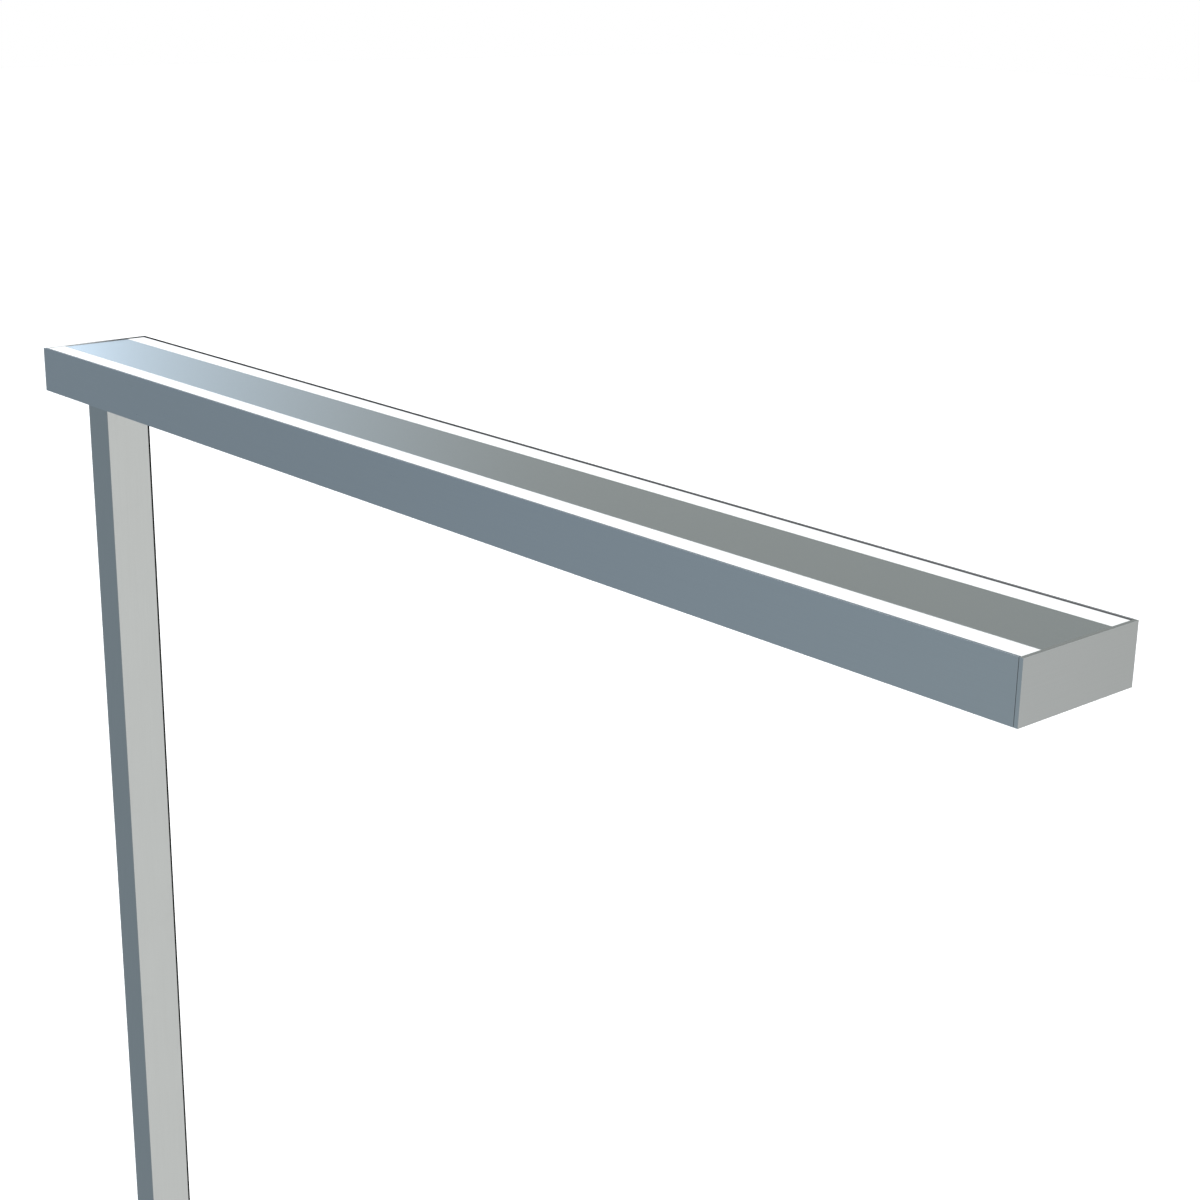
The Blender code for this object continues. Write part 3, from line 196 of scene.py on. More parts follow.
def room_light(tree, level, height):
    """The walls' light by the level angle from LIGHT_SIDE, and the ceiling's above them."""
    ramp = tree.nodes.new("ShaderNodeValToRGB")
    while len(ramp.color_ramp.elements) < len(ROOM_COLOURS):
        ramp.color_ramp.elements.new(0.5)
    for element, (cosine, colour) in zip(ramp.color_ramp.elements, ROOM_COLOURS):
        element.position = (cosine + 1) / 2
        element.color = (*colour, 1)
    tree.links.new(rescale(tree, cosine_from(tree, level, LIGHT_SIDE), -1, 1), ramp.inputs[0])
    ceiling = rescale(tree, height, math.sin(CEILING_FROM), math.sin(CEILING_FULL), smooth=True)
    return blend_colours(tree, ceiling, ramp.outputs["Color"], CEILING_LIGHT)


def add_window(tree, room, level, height):
    """Adds the window's light, which fades from its middle to its sides, its sill and its head."""
    nearness = rescale(tree, cosine_from(tree, level, WINDOW_HEADING), *WINDOW_EDGES)
    window = 0.0
    for share, power in WINDOW_FALLS:
        part = calculate(tree, "POWER", nearness, power)
        window = calculate(tree, "MULTIPLY_ADD", part, share, window)
    above_sill = rescale(tree, height, *(math.sin(angle) for angle in WINDOW_SILL), smooth=True)
    below_head = rescale(tree, height, *(math.sin(angle) for angle in reversed(WINDOW_HEAD)), smooth=True)
    window = calculate(tree, "MULTIPLY", window, calculate(tree, "MULTIPLY", above_sill, below_head))
    return blend_colours(tree, window, room, blend_colours(tree, 1.0, room, WINDOW_LIGHT, "ADD"))


def make_surroundings():
    """A pale room: a bright ceiling, a light right-hand side, a cooler front and a window behind the post.
    The camera itself sees plain white.
    """
    world = bpy.data.worlds.new("studio")
    bpy.context.scene.world = world
    world.use_nodes = True
    tree = world.node_tree
    tree.nodes.clear()
    place = tree.nodes.new("ShaderNodeTexCoord")
    direction = vector_math(tree, "NORMALIZE", place.outputs["Generated"])
    level = vector_math(tree, "NORMALIZE", vector_math(tree, "MULTIPLY", direction, (1, 1, 0)))
    height = add_node(tree, "ShaderNodeSeparateXYZ", Vector=direction).outputs["Z"]
    room = add_window(tree, room_light(tree, level, height), level, height)
    lit = add_node(tree, "ShaderNodeBackground", Color=room)
    white = add_node(tree, "ShaderNodeBackground", Color=(1, 1, 1))
    mixed = tree.nodes.new("ShaderNodeMixShader")
    tree.links.new(tree.nodes.new("ShaderNodeLightPath").outputs["Is Camera Ray"], mixed.inputs[0])
    tree.links.new(lit.outputs[0], mixed.inputs[1])
    tree.links.new(white.outputs[0], mixed.inputs[2])
    add_node(tree, "ShaderNodeOutputWorld", Surface=mixed.outputs[0])


def make_floor():
    """A plain pale floor under the clamp. Metal doesn't mirror it, as if it ended close by."""
    lowest = min(joint["range_m"][0] for joint in frame["joints"] if joint["name"] == "pad_travel")
    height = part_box("clamp_knob")[0].z + lowest - FLOOR_CLEARANCE
    bm = bmesh.new()
    bmesh.ops.create_grid(bm, x_segments=2, y_segments=2, size=FLOOR_HALF_SIZE)
    mesh = bpy.data.meshes.new("floor")
    bm.to_mesh(mesh)
    bm.free()
    floor = bpy.data.objects.new("floor", mesh)
    floor.location = (0, 0, height)
    bpy.context.scene.collection.objects.link(floor)
    material, tree, shader = new_material("floor_paint")
    tone = blend_colours(tree, noise(tree, 2, detail=3), *FLOOR_TONES)
    feed_named(tree, shader, Base_Color=tone, Roughness=FLOOR_ROUGHNESS)
    mesh.materials.append(material)
    floor.visible_glossy = False


# ---------------------------------------------------------------------------------------------
# Materials
# ---------------------------------------------------------------------------------------------


def new_material(name):
    material = bpy.data.materials.new(name)
    material.use_nodes = True
    tree = material.node_tree
    return material, tree, tree.nodes["Principled BSDF"]


def stretched(tree, scale):
    """The piece's own coordinates in metres, scaled alike or along each axis."""
    scale = scale if isinstance(scale, (tuple, list)) else (scale,) * 3
    place = tree.nodes.new("ShaderNodeTexCoord")
    mapping = add_node(tree, "ShaderNodeMapping", Vector=place.outputs["Object"], Scale=scale)
    return mapping.outputs["Vector"]


def noise(tree, scale, detail=2, roughness=0.5):
    """Noise from 0 to 1 whose features are 1 / scale metres long, alike or along each axis."""
    vector = stretched(tree, scale)
    item = add_node(
        tree, "ShaderNodeTexNoise", Vector=vector, Scale=1.0, Detail=float(detail), Roughness=roughness
    )
    return item.outputs[0]


def pitting(tree, scale):
    """Cells 1 / scale metres across, deepest in their middles."""
    item = add_node(tree, "ShaderNodeTexVoronoi", Vector=stretched(tree, scale), Scale=1.0)
    return item.outputs["Distance"]


def place_parts(tree):
    """The piece's own X, Y and Z in metres."""
    place = tree.nodes.new("ShaderNodeTexCoord")
    split = add_node(tree, "ShaderNodeSeparateXYZ", Vector=place.outputs["Object"])
    return split.outputs["X"], split.outputs["Y"], split.outputs["Z"]


def relief(tree, shader, *layers):
    """Bump from layers of (height, strength, distance in metres)."""
    normal = None
    for height, strength, distance in layers:
        bump = add_node(tree, "ShaderNodeBump", Height=height, Strength=strength, Distance=distance)
        if normal is not None:
            tree.links.new(normal, bump.inputs["Normal"])
        normal = bump.outputs["Normal"]
    tree.links.new(normal, shader.inputs["Normal"])


def darker(colour, amount):
    return tuple(channel * amount for channel in colour)


ACROSS_GRAIN = 3500  # grain lines in a metre, across the way the metal was drawn
ALONG_GRAIN = 12
RIM_DEPTH = 0.9 * MM  # how far down from the bar's top the rims' painted shade goes
RIM_EDGE = 0.05 * MM  # from the bar's outer faces
# The rims' tones are painted shade and painted reflections, fixed by place on the piece.
FRONT_RIM_LIGHT_AND_SHADE = (0.155, 0.18, 0.20)
REAR_RIM_SHADE = ((0.006, 0.005, 0.006), (0.18, 0.185, 0.19))  # painted shade, at its left and right end
LEFT_RIM_LIGHT_AND_SHADE = ((0.78, 0.80, 0.81), (0.02, 0.02, 0.022))  # painted highlight at its front end, painted shade at its rear end
RIGHT_RIM_LIGHT_AND_SHADE = (0.165, 0.175, 0.17)
LED_PITCH = 9 * MM
OPAL_EDGE = 1.1 * MM  # of each light cover that lies on a ledge, where it gives no light and its colour is darkened as painted shade
OPAL_TONES = ((0.56, 0.57, 0.57), (0.60, 0.61, 0.61))
LEDGE_SHADE = (0.12, 0.12, 0.13)


def grain_scale(axis):
    return [ALONG_GRAIN if letter == axis else ACROSS_GRAIN for letter in "XYZ"]


def drawn_metal(name, colour, roughness, grain_axis, worn_by=0.05, rims=False):
    """Satin anodised aluminium: fine drawing lines along one axis, a slow drift of tone and small scuffs.
    The bar's walls and caps can also have painted light and shade on their upper rims, which are made dull so
    that it shows.
    """
    material, tree, shader = new_material(name)
    lines = noise(tree, grain_scale(grain_axis), detail=3, roughness=0.6)
    drift = noise(tree, (2.5, 9, 9))
    speckle = noise(tree, 1400)
    scuffs = rescale(tree, noise(tree, 35, detail=5, roughness=0.65), 0.60, 0.75)
    tone = blend_colours(tree, drift, darker(colour, 0.975), darker(colour, 1.02))
    tone = blend_colours(tree, rescale(tree, lines, 0.3, 0.7, 0.0, 0.5), tone, darker(colour, 0.93))
    metallic = 1.0
    if rims:
        # Painted light and shade on the rims; they are made non-metal and without shine so that the painted
        # tone shows.
        is_rim, rim_painted_shade = rim_mask_and_painted_shade(tree)
        tone = blend_colours(tree, is_rim, tone, rim_painted_shade)
        metallic = calculate(tree, "SUBTRACT", 1.0, is_rim)
        shader.inputs["Specular IOR Level"].default_value = 0.0
    gloss = rescale(tree, lines, 0.25, 0.75, roughness - 0.03, roughness + 0.04)
    gloss = calculate(tree, "MULTIPLY_ADD", scuffs, worn_by, gloss)
    feed_named(tree, shader, Base_Color=tone, Metallic=metallic, Roughness=gloss)
    relief(tree, shader, (lines, 0.10, 0.04 * MM), (speckle, 0.06, 0.03 * MM))
    return material


def rim_mask_and_painted_shade(tree):
    """Where the upper rims of the bar and their inner faces are, and the light and shade painted on them:
    painted shade, darkest at the rear and left, and a painted highlight at the left cap's front.
    """
    head_low, head_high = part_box("head_profile")
    left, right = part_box("end_cap_left")[0].x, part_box("end_cap_right")[1].x
    along, across, up = place_parts(tree)
    from_side = calculate(tree, "SUBTRACT", head_high.y, calculate(tree, "ABSOLUTE", across))
    from_left = calculate(tree, "SUBTRACT", along, left)
    from_right = calculate(tree, "SUBTRACT", right, along)
    from_ends = calculate(tree, "MINIMUM", from_left, from_right)
    near_top = calculate(tree, "GREATER_THAN", up, head_high.z - RIM_DEPTH)
    inside = calculate(tree, "GREATER_THAN", calculate(tree, "MINIMUM", from_side, from_ends), RIM_EDGE)
    is_rim = calculate(tree, "MULTIPLY", near_top, inside)
    # Painted shade along the rear rim, darkest at its left end
    rear_rim_painted_shade = blend_colours(tree, rescale(tree, along, head_low.x, head_high.x), *REAR_RIM_SHADE)
    tone = blend_colours(tree, calculate(tree, "GREATER_THAN", across, 0.0), FRONT_RIM_LIGHT_AND_SHADE, rear_rim_painted_shade)
    to_rear = rescale(tree, across, head_low.y, head_high.y, smooth=True)
    left_cap = calculate(tree, "LESS_THAN", along, head_low.x)
    # The left cap's rim: a painted highlight at its front fading to painted shade at its rear
    tone = blend_colours(tree, left_cap, tone, blend_colours(tree, to_rear, *LEFT_RIM_LIGHT_AND_SHADE))
    right_cap = calculate(tree, "GREATER_THAN", along, head_high.x)
    return is_rim, blend_colours(tree, right_cap, tone, RIGHT_RIM_LIGHT_AND_SHADE)


def opal_plastic(name, light, glow):
    """An opal cover lit from inside, a touch brighter over each light emitter. No light comes through its
    outer edge, which lies on a ledge of the bar, and that edge's colour is darkened as painted shade.
    """
    material, tree, shader = new_material(name)
    along, across, _ = place_parts(tree)
    wave = calculate(tree, "COSINE", calculate(tree, "MULTIPLY", along, 2 * math.pi / LED_PITCH))
    cloud = noise(tree, 900)
    over_led = rescale(tree, calculate(tree, "MULTIPLY_ADD", cloud, 0.3, wave), -1, 1.3)
    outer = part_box("uplight_diffuser_rear")[1].y
    off_middle = calculate(tree, "ABSOLUTE", across)
    # The outer edge: its glow fades out, and its colour goes to LEDGE_SHADE, which is painted shade
    edge = rescale(tree, off_middle, outer - OPAL_EDGE, outer - OPAL_EDGE / 2, smooth=True)
    feed_named(
        tree,
        shader,
        Base_Color=blend_colours(tree, edge, blend_colours(tree, cloud, *OPAL_TONES), LEDGE_SHADE),
        Roughness=rescale(tree, cloud, 0.2, 0.8, 0.42, 0.52),
        Emission_Color=blend_colours(tree, over_led, darker(light, 0.95), light),
        Emission_Strength=rescale(tree, edge, 0, 1, glow, 0.0),
    )
    relief(tree, shader, (cloud, 0.1, 0.05 * MM))
    return material


def moulded_plastic(name, colour, roughness, texture=2200, depth=0.08 * MM, shine=0.35):
    """Moulded plastic with a fine spark-eroded texture."""
    material, tree, shader = new_material(name)
    pits = pitting(tree, texture)
    cloud = noise(tree, 60, detail=4)
    tone = blend_colours(tree, cloud, darker(colour, 0.85), darker(colour, 1.15))
    gloss = rescale(tree, cloud, 0.3, 0.7, roughness - 0.05, roughness + 0.05)
    feed_named(tree, shader, Base_Color=tone, Roughness=gloss, Specular_IOR_Level=shine)
    relief(tree, shader, (pits, 0.35, depth))
    return material


# The part of the mains inlet that its pins lie in
PINS_HALF_WIDTH = 11.5 * MM
PINS_HALF_HEIGHT = 7.5 * MM
PINS_DEPTH = 14.9 * MM  # from the inlet's face
NICKEL_TONES = ((0.60, 0.58, 0.53), (0.72, 0.70, 0.65))


def inlet_plastic(name, colour):
    """The mains inlet's black plastic, with nickel-plated pins inside its mouth."""
    material, tree, shader = new_material(name)
    low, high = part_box("mains_inlet")
    middle = (low + high) / 2
    along, across, up = place_parts(tree)
    off_x = calculate(tree, "ABSOLUTE", calculate(tree, "SUBTRACT", along, middle.x))
    off_z = calculate(tree, "ABSOLUTE", calculate(tree, "SUBTRACT", up, middle.z))
    is_pin = calculate(tree, "GREATER_THAN", across, high.y - PINS_DEPTH)
    is_pin = calculate(tree, "MULTIPLY", is_pin, calculate(tree, "LESS_THAN", off_x, PINS_HALF_WIDTH))
    is_pin = calculate(tree, "MULTIPLY", is_pin, calculate(tree, "LESS_THAN", off_z, PINS_HALF_HEIGHT))
    pits = noise(tree, 2200, detail=3)
    marks = noise(tree, (4000, 300, 4000))
    plastic = blend_colours(tree, pits, darker(colour, 0.8), darker(colour, 1.2))
    tone = blend_colours(tree, is_pin, plastic, blend_colours(tree, marks, *NICKEL_TONES))
    gloss = rescale(tree, is_pin, 0, 1, 0.48, 0.25)
    feed_named(tree, shader, Base_Color=tone, Metallic=is_pin, Roughness=gloss)
    relief(tree, shader, (pits, 0.2, 0.06 * MM), (marks, 0.05, 0.02 * MM))
    return material


def rubber(name, colour):
    """Matt rubber with pores and a little bloom."""
    material, tree, shader = new_material(name)
    pores = noise(tree, 1500, detail=3, roughness=0.7)
    bloom = rescale(tree, noise(tree, 45, detail=5, roughness=0.7), 0.5, 0.8)
    tone = blend_colours(tree, bloom, colour, darker(colour, 2.2))
    feed_named(tree, shader, Base_Color=tone, Roughness=rescale(tree, pores, 0.2, 0.8, 0.72, 0.9))
    relief(tree, shader, (pores, 0.3, 0.1 * MM))
    return material


YELLOWED_ZINC = (0.50, 0.47, 0.38)
ROLLED_MARKS = (5000, 5000, 150)  # in a metre along each axis
TURNED_MARKS = (200, 200, 6000)


def zinc_plate(name, colour, roughness, marks_scale=ROLLED_MARKS):
    """Zinc-plated steel: cloudy plating over fine marks from turning or rolling."""
    material, tree, shader = new_material(name)
    cloud = noise(tree, 120, detail=4, roughness=0.6)
    marks = noise(tree, marks_scale)
    tone = blend_colours(tree, cloud, darker(colour, 0.85), darker(colour, 1.1))
    warm = rescale(tree, noise(tree, 300), 0.55, 0.75, 0.0, 0.35)
    tone = blend_colours(tree, warm, tone, YELLOWED_ZINC)
    gloss = rescale(tree, cloud, 0.3, 0.7, roughness - 0.05, roughness + 0.08)
    feed_named(tree, shader, Base_Color=tone, Metallic=1.0, Roughness=gloss)
    relief(tree, shader, (marks, 0.12, 0.04 * MM), (cloud, 0.05, 0.1 * MM))
    return material


def powder_coat(name, colour):
    """Silver grey powder coat with its orange-peel surface and fine metallic flakes."""
    material, tree, shader = new_material(name)
    peel = noise(tree, 450, roughness=0.4)
    flakes = rescale(tree, pitting(tree, 5000), 0.1, 0.7)
    tone = blend_colours(tree, flakes, darker(colour, 1.12), darker(colour, 0.9))
    gloss = rescale(tree, flakes, 0, 1, 0.38, 0.5)
    feed_named(tree, shader, Base_Color=tone, Metallic=0.75, Roughness=gloss)
    relief(tree, shader, (peel, 0.18, 0.3 * MM))
    return material


def light_board(name):
    """White solder mask with faint copper tracks under it."""
    material, tree, shader = new_material(name)
    tracks = add_node(
        tree,
        "ShaderNodeTexBrick",
        {"offset": 0.5},
        Vector=stretched(tree, (60, 250, 250)),
        Scale=1.0,
        Color1=(0.80, 0.81, 0.79),
        Color2=(0.83, 0.84, 0.82),
        Mortar=(0.66, 0.70, 0.62),
        Mortar_Size=0.04,
    )
    glaze = noise(tree, 500)
    gloss = rescale(tree, glaze, 0.2, 0.8, 0.35, 0.5)
    feed_named(tree, shader, Base_Color=tracks.outputs["Color"], Roughness=gloss)
    relief(tree, shader, (tracks.outputs["Fac"], 0.2, 0.04 * MM), (glaze, 0.05, 0.05 * MM))
    return material


def sheath(name, colour):
    """The plastic sheath of a lead, with drawing lines and a slight drift of tone."""
    material, tree, shader = new_material(name)
    cloud = noise(tree, 90, detail=3)
    fine = noise(tree, 1800)
    tone = blend_colours(tree, cloud, darker(colour, 0.92), darker(colour, 1.06))
    feed_named(tree, shader, Base_Color=tone, Roughness=rescale(tree, fine, 0.2, 0.8, 0.45, 0.6))
    relief(tree, shader, (fine, 0.15, 0.06 * MM))
    return material


# What the materials are coloured with
ALUMINIUM = (0.56, 0.60, 0.62)
POST_ALUMINIUM = (0.510, 0.537, 0.533)
SHEET_ALUMINIUM = (0.50, 0.52, 0.53)
BUTTON_ALUMINIUM = (0.60, 0.62, 0.63)
STEEL = (0.52, 0.53, 0.55)
TURNED_STEEL = (0.55, 0.56, 0.58)
BRASS = (0.74, 0.58, 0.28)
SILVER_GREY = (0.44, 0.46, 0.47)
BLACK = (0.016, 0.016, 0.017)
MATT_BLACK_AND_SHADE = (0.005, 0.005, 0.006)
# Near black with little shine: the post's rear cover, darkened so that its edge also paints the shade line
# along the post's rear edge
GRIP_BLACK = (0.022, 0.022, 0.024)
RUBBER_BLACK = (0.022, 0.022, 0.023)
WHITE = (0.80, 0.80, 0.77)
LEAD_GREY = (0.33, 0.34, 0.35)
LEAD_WHITE = (0.78, 0.78, 0.76)
UP_LIGHT = (1.0, 1.0, 1.0)
DOWN_LIGHT = (1.0, 0.985, 0.955)


def make_materials():
    return {
        "bar_metal": drawn_metal("bar_metal", ALUMINIUM, 0.30, "X", rims=True),
        "cap_metal": drawn_metal("cap_metal", ALUMINIUM, 0.32, "Y", rims=True),
        "post_metal": drawn_metal("post_metal", POST_ALUMINIUM, 0.30, "Z"),
        "plate_metal": drawn_metal("plate_metal", SHEET_ALUMINIUM, 0.36, "X"),
        "panel_metal": drawn_metal("panel_metal", SHEET_ALUMINIUM, 0.20, "X", worn_by=0.02),
        "button_metal": drawn_metal("button_metal", BUTTON_ALUMINIUM, 0.26, "Y"),
        "up_opal": opal_plastic("up_opal", UP_LIGHT, 0.24),
        "down_opal": opal_plastic("down_opal", DOWN_LIGHT, 0.50),
        "black_plastic": moulded_plastic("black_plastic", BLACK, 0.50),
        "inlet_plastic": inlet_plastic("inlet_plastic", BLACK),
        "matt_black_and_shade": moulded_plastic("matt_black_and_shade", MATT_BLACK_AND_SHADE, 0.65, shine=0.1),
        "grip_plastic": moulded_plastic("grip_plastic", GRIP_BLACK, 0.52, texture=1500, depth=0.14 * MM),
        "white_plastic": moulded_plastic("white_plastic", WHITE, 0.48),
        "steel": zinc_plate("steel", STEEL, 0.30),
        "turned_steel": zinc_plate("turned_steel", TURNED_STEEL, 0.26, TURNED_MARKS),
        "brass": zinc_plate("brass", BRASS, 0.30),
        "powder_coat": powder_coat("powder_coat", SILVER_GREY),
        "rubber": rubber("rubber", RUBBER_BLACK),
        "light_board": light_board("light_board"),
        "grey_sheath": sheath("grey_sheath", LEAD_GREY),
        "white_sheath": sheath("white_sheath", LEAD_WHITE),
    }


FINISH_OF_NODE = {
    "head_profile": "bar_metal",
    "end_cap_left": "cap_metal",
    "end_cap_right": "cap_metal",
    "post_profile": "post_metal",
    "underside_plate": "plate_metal",
    # The rear cover's near-black edge also stands in for painted shade along the post's rear edge
    "post_rear_cover": "matt_black_and_shade",
    "mains_inlet": "inlet_plastic",
    "top_panel": "panel_metal",
    "dimmer_button": "button_metal",
    "downlight_diffuser": "down_opal",
    "clamp_knob": "grip_plastic",
    "clamp_spindle": "turned_steel",
    "clamp_nut": "turned_steel",
}
FINISH_OF_SLOT = {
    "opal": "up_opal",
    "black_plastic": "black_plastic",
    "steel": "steel",
    "painted_steel": "powder_coat",
    "rubber": "rubber",
    "board": "light_board",
    "driver": "white_plastic",
    "brass": "brass",
    "grey_lead": "grey_sheath",
    "white_lead": "white_sheath",
}


def material_for(node):
    """The material that a CAD node or a piece in its place is finished with."""
    return materials[FINISH_OF_NODE.get(node) or FINISH_OF_SLOT[slots[node]]]


# ---------------------------------------------------------------------------------------------
# CAD nodes that stay
# ---------------------------------------------------------------------------------------------

SAME_PLACE = 0.001 * MM  # two points that are closer than this are one
FLAT_FACES = 0.5 * DEG  # faces that meet at less than this are one
SHARP = 30 * DEG  # edges that turn by more than this are rounded, or stay sharp in the new pieces

# The radius that each node's edges are rounded to
EDGE_RADIUS = {
    "head_profile": 0.12 * MM,
    "end_cap_left": 0.15 * MM,
    "end_cap_right": 0.15 * MM,
    "top_panel": 0.2 * MM,
    "uplight_diffuser_front": 0.15 * MM,
    "uplight_diffuser_rear": 0.15 * MM,
    "downlight_diffuser": 0.3 * MM,
    "underside_plate": 0.3 * MM,
    "post_profile": 0.25 * MM,
    "post_rear_cover": 0.2 * MM,
    "clamp_bracket": 0.9 * MM,
    "seat_pad": 0.5 * MM,
    "edge_pad": 0.4 * MM,
    "mains_inlet": 0.4 * MM,
    "post_mount_plate": 0.5 * MM,
    "post_head_block": 0.8 * MM,
    "post_foot_block": 0.8 * MM,
    "uplight_driver": 0.8 * MM,
    "downlight_driver": 0.8 * MM,
    "terminal_block": 0.5 * MM,
}


def soften(item, radius):
    """Joins the faces of a CAD node, drops the edges inside its flat faces and rounds the sharp ones."""
    weld = item.modifiers.new("weld", "WELD")
    weld.merge_threshold = SAME_PLACE
    flatten = item.modifiers.new("flatten", "DECIMATE")
    flatten.decimate_type = "DISSOLVE"
    flatten.angle_limit = FLAT_FACES
    bevel = item.modifiers.new("soft_edges", "BEVEL")
    bevel.width = radius
    bevel.segments = 2
    bevel.limit_method = "ANGLE"
    bevel.angle_limit = SHARP
    bevel.use_clamp_overlap = True
    normals = item.modifiers.new("normals", "WEIGHTED_NORMAL")
    normals.keep_sharp = False


def finish_cad_nodes():
    for name, item in nodes.items():
        for material_slot in item.material_slots:
            material_slot.material = material_for(name)
        if name in EDGE_RADIUS:
            soften(item, EDGE_RADIUS[name])


# ---------------------------------------------------------------------------------------------
# New pieces
# ---------------------------------------------------------------------------------------------


def new_piece(name, bm, node, place):
    """A piece from a bmesh that stands in for a CAD node, on the node's body and in its finish."""
    bmesh.ops.recalc_face_normals(bm, faces=bm.faces)
    mesh = bpy.data.meshes.new(name)
    bm.to_mesh(mesh)
    bm.free()
    mesh.shade_smooth()
    mesh.set_sharp_from_angle(angle=SHARP)
    mesh.materials.append(material_for(node))
    piece = bpy.data.objects.new(name, mesh)
    piece.matrix_world = place
    bpy.context.scene.collection.objects.link(piece)
    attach(piece, nodes[node]["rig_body"])
    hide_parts(node)


ROUND_STEPS = 96  # in the whole turn of a turned piece
EDGE_STEPS = 6  # in the rounding of a turned edge
BALL_STEPS = 12  # along the spindle's ball, and its socket in the pad


def circle(bm, radius, height, steps):
    """The vertices of a circle about Z. At radius 0 it is one vertex."""
    if radius < SAME_PLACE:
        return [bm.verts.new((0, 0, height))]
    angles = (2 * math.pi * i / steps for i in range(steps))
    return [bm.verts.new((radius * math.cos(a), radius * math.sin(a), height)) for a in angles]


def join_rings(bm, first, second):
    """The faces between two rings of vertices, either of which may be one vertex on the axis."""
    steps = max(len(first), len(second))
    for i in range(steps):
        j = (i + 1) % steps
        near = [first[i % len(first)], first[j % len(first)]]
        far = [second[j % len(second)], second[i % len(second)]]
        corners = list(dict.fromkeys(near + far))
        if len(corners) > 2:
            bm.faces.new(corners)


def lathe(bm, profile, closed=False):
    """Turns a profile of (radius, height) about Z."""
    rings = [circle(bm, radius, height, ROUND_STEPS) for radius, height in profile]
    pairs = list(zip(rings, rings[1:]))
    if closed:
        pairs.append((rings[-1], rings[0]))
    for first, second in pairs:
        join_rings(bm, first, second)


def arc(centre, radius, start, end, steps=EDGE_STEPS):
    """Points (radius, height) of an arc in the profile's plane, angles from the +radius direction."""
    return [
        (
            centre[0] + radius * math.cos(start + (end - start) * i / steps),
            centre[1] + radius * math.sin(start + (end - start) * i / steps),
        )
        for i in range(steps + 1)
    ]


THREAD_PITCH = 1.75 * MM
THREAD_DEPTH = 0.95 * MM
THREAD_POINTS = ((0.0, 0.0), (0.06, 0.0), (0.47, 1.0), (0.59, 1.0))  # (share of a pitch, share of the depth)
THREAD_STEPS = 36  # in a turn
THREAD_RUNOUT = 2  # depths gained in a turn where it starts, and lost where it ends


def thread_rows(radius, low, depth, turns):
    """The points of an outer thread's rows, which follow its helix for a turn each. The thread grows from
    its core in the first half turn and sinks back into it in the last.
    """
    rows = []
    for turn in range(turns):
        for share, depth_share in THREAD_POINTS:
            row = []
            for i in range(THREAD_STEPS):
                progress = turn + share + i / THREAD_STEPS
                runout = min(1, THREAD_RUNOUT * progress, THREAD_RUNOUT * max(0, turns - progress))
                r = radius - depth * (depth_share * runout + (1 - runout))
                angle = 2 * math.pi * i / THREAD_STEPS
                row.append((r * math.cos(angle), r * math.sin(angle), low + progress * THREAD_PITCH))
            rows.append(row)
    return rows


def thread(bm, radius, low, high, depth):
    """The flanks of an outer thread from low to high, with a flat ring at each end. Returns the lower and
    upper ring.
    """
    turns = int((high - low) / THREAD_PITCH) - 1
    grid = [[bm.verts.new(point) for point in row] for row in thread_rows(radius, low, depth, turns)]
    steps = THREAD_STEPS
    per_turn = len(THREAD_POINTS)

    def at(row, column):
        """A row's last column is the first column of the row one turn up."""
        return grid[row][column] if column < steps else grid[row + per_turn][0]

    for row in range(len(grid) - 1):
        for column in range(steps):
            if column + 1 == steps and row + 1 + per_turn >= len(grid):
                continue
            bm.faces.new((at(row, column), at(row, column + 1), at(row + 1, column + 1), at(row + 1, column)))
    core = radius - depth
    lower = circle(bm, core, low, steps)
    for column in range(steps - 1):
        bm.faces.new((lower[column], lower[column + 1], grid[0][column + 1], grid[0][column]))
    bm.faces.new((lower[-1], lower[0], *(grid[row][0] for row in range(per_turn + 1)), grid[0][-1]))
    upper = circle(bm, core, high, steps)
    last = len(grid) - 1
    for column in range(steps - 1):
        bm.faces.new((grid[last][column], grid[last][column + 1], upper[column + 1], upper[column]))
    seam = [grid[row][-1] for row in range(last, last - per_turn - 1, -1)]
    bm.faces.new((*seam, grid[last][0], upper[0], upper[-1]))
    return lower, upper


def carry_on(bm, ring, profile):
    """Carries a thread's end ring on along a profile of (radius, height), which ends on the axis."""
    for radius, height in profile:
        following = circle(bm, radius, height, THREAD_STEPS)
        join_rings(bm, ring, following)
        ring = following


def make_spindle():
    """The threaded spindle, with a ball at the top that sits in the pad and a stub in the knob's hub."""
    low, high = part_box("clamp_spindle")
    centre = (low + high) / 2
    knob_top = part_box("clamp_knob")[1].z
    pad_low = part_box("pressure_pad")[0].z
    radius = (high.x - low.x) / 2
    core = radius - THREAD_DEPTH
    ball = 5.5 * MM
    neck = 4 * MM
    stub = 4 * MM
    bevel = 0.3 * MM
    stub_bevel = 0.5 * MM
    plain_end = 1.5 * MM  # below and above the thread
    shoulder = pad_low - 3 * MM
    bm = bmesh.new()
    lower, upper = thread(bm, radius, knob_top + plain_end, shoulder - plain_end, THREAD_DEPTH)
    meet = math.asin(neck / ball) - math.pi / 2
    top = [(core, shoulder - bevel), (core - bevel, shoulder)]
    top += [(neck + bevel, shoulder), (neck, shoulder + bevel)]
    top += arc((0, high.z - ball), ball, meet, math.pi / 2, BALL_STEPS)[:-1] + [(0, high.z)]
    carry_on(bm, upper, top)
    bottom = [(core, knob_top + bevel), (stub, knob_top + bevel), (stub, low.z + stub_bevel)]
    bottom += [(stub - stub_bevel, low.z), (0, low.z)]
    carry_on(bm, lower, bottom)
    new_piece("spindle", bm, "clamp_spindle", Matrix.Translation((centre.x, centre.y, 0)))


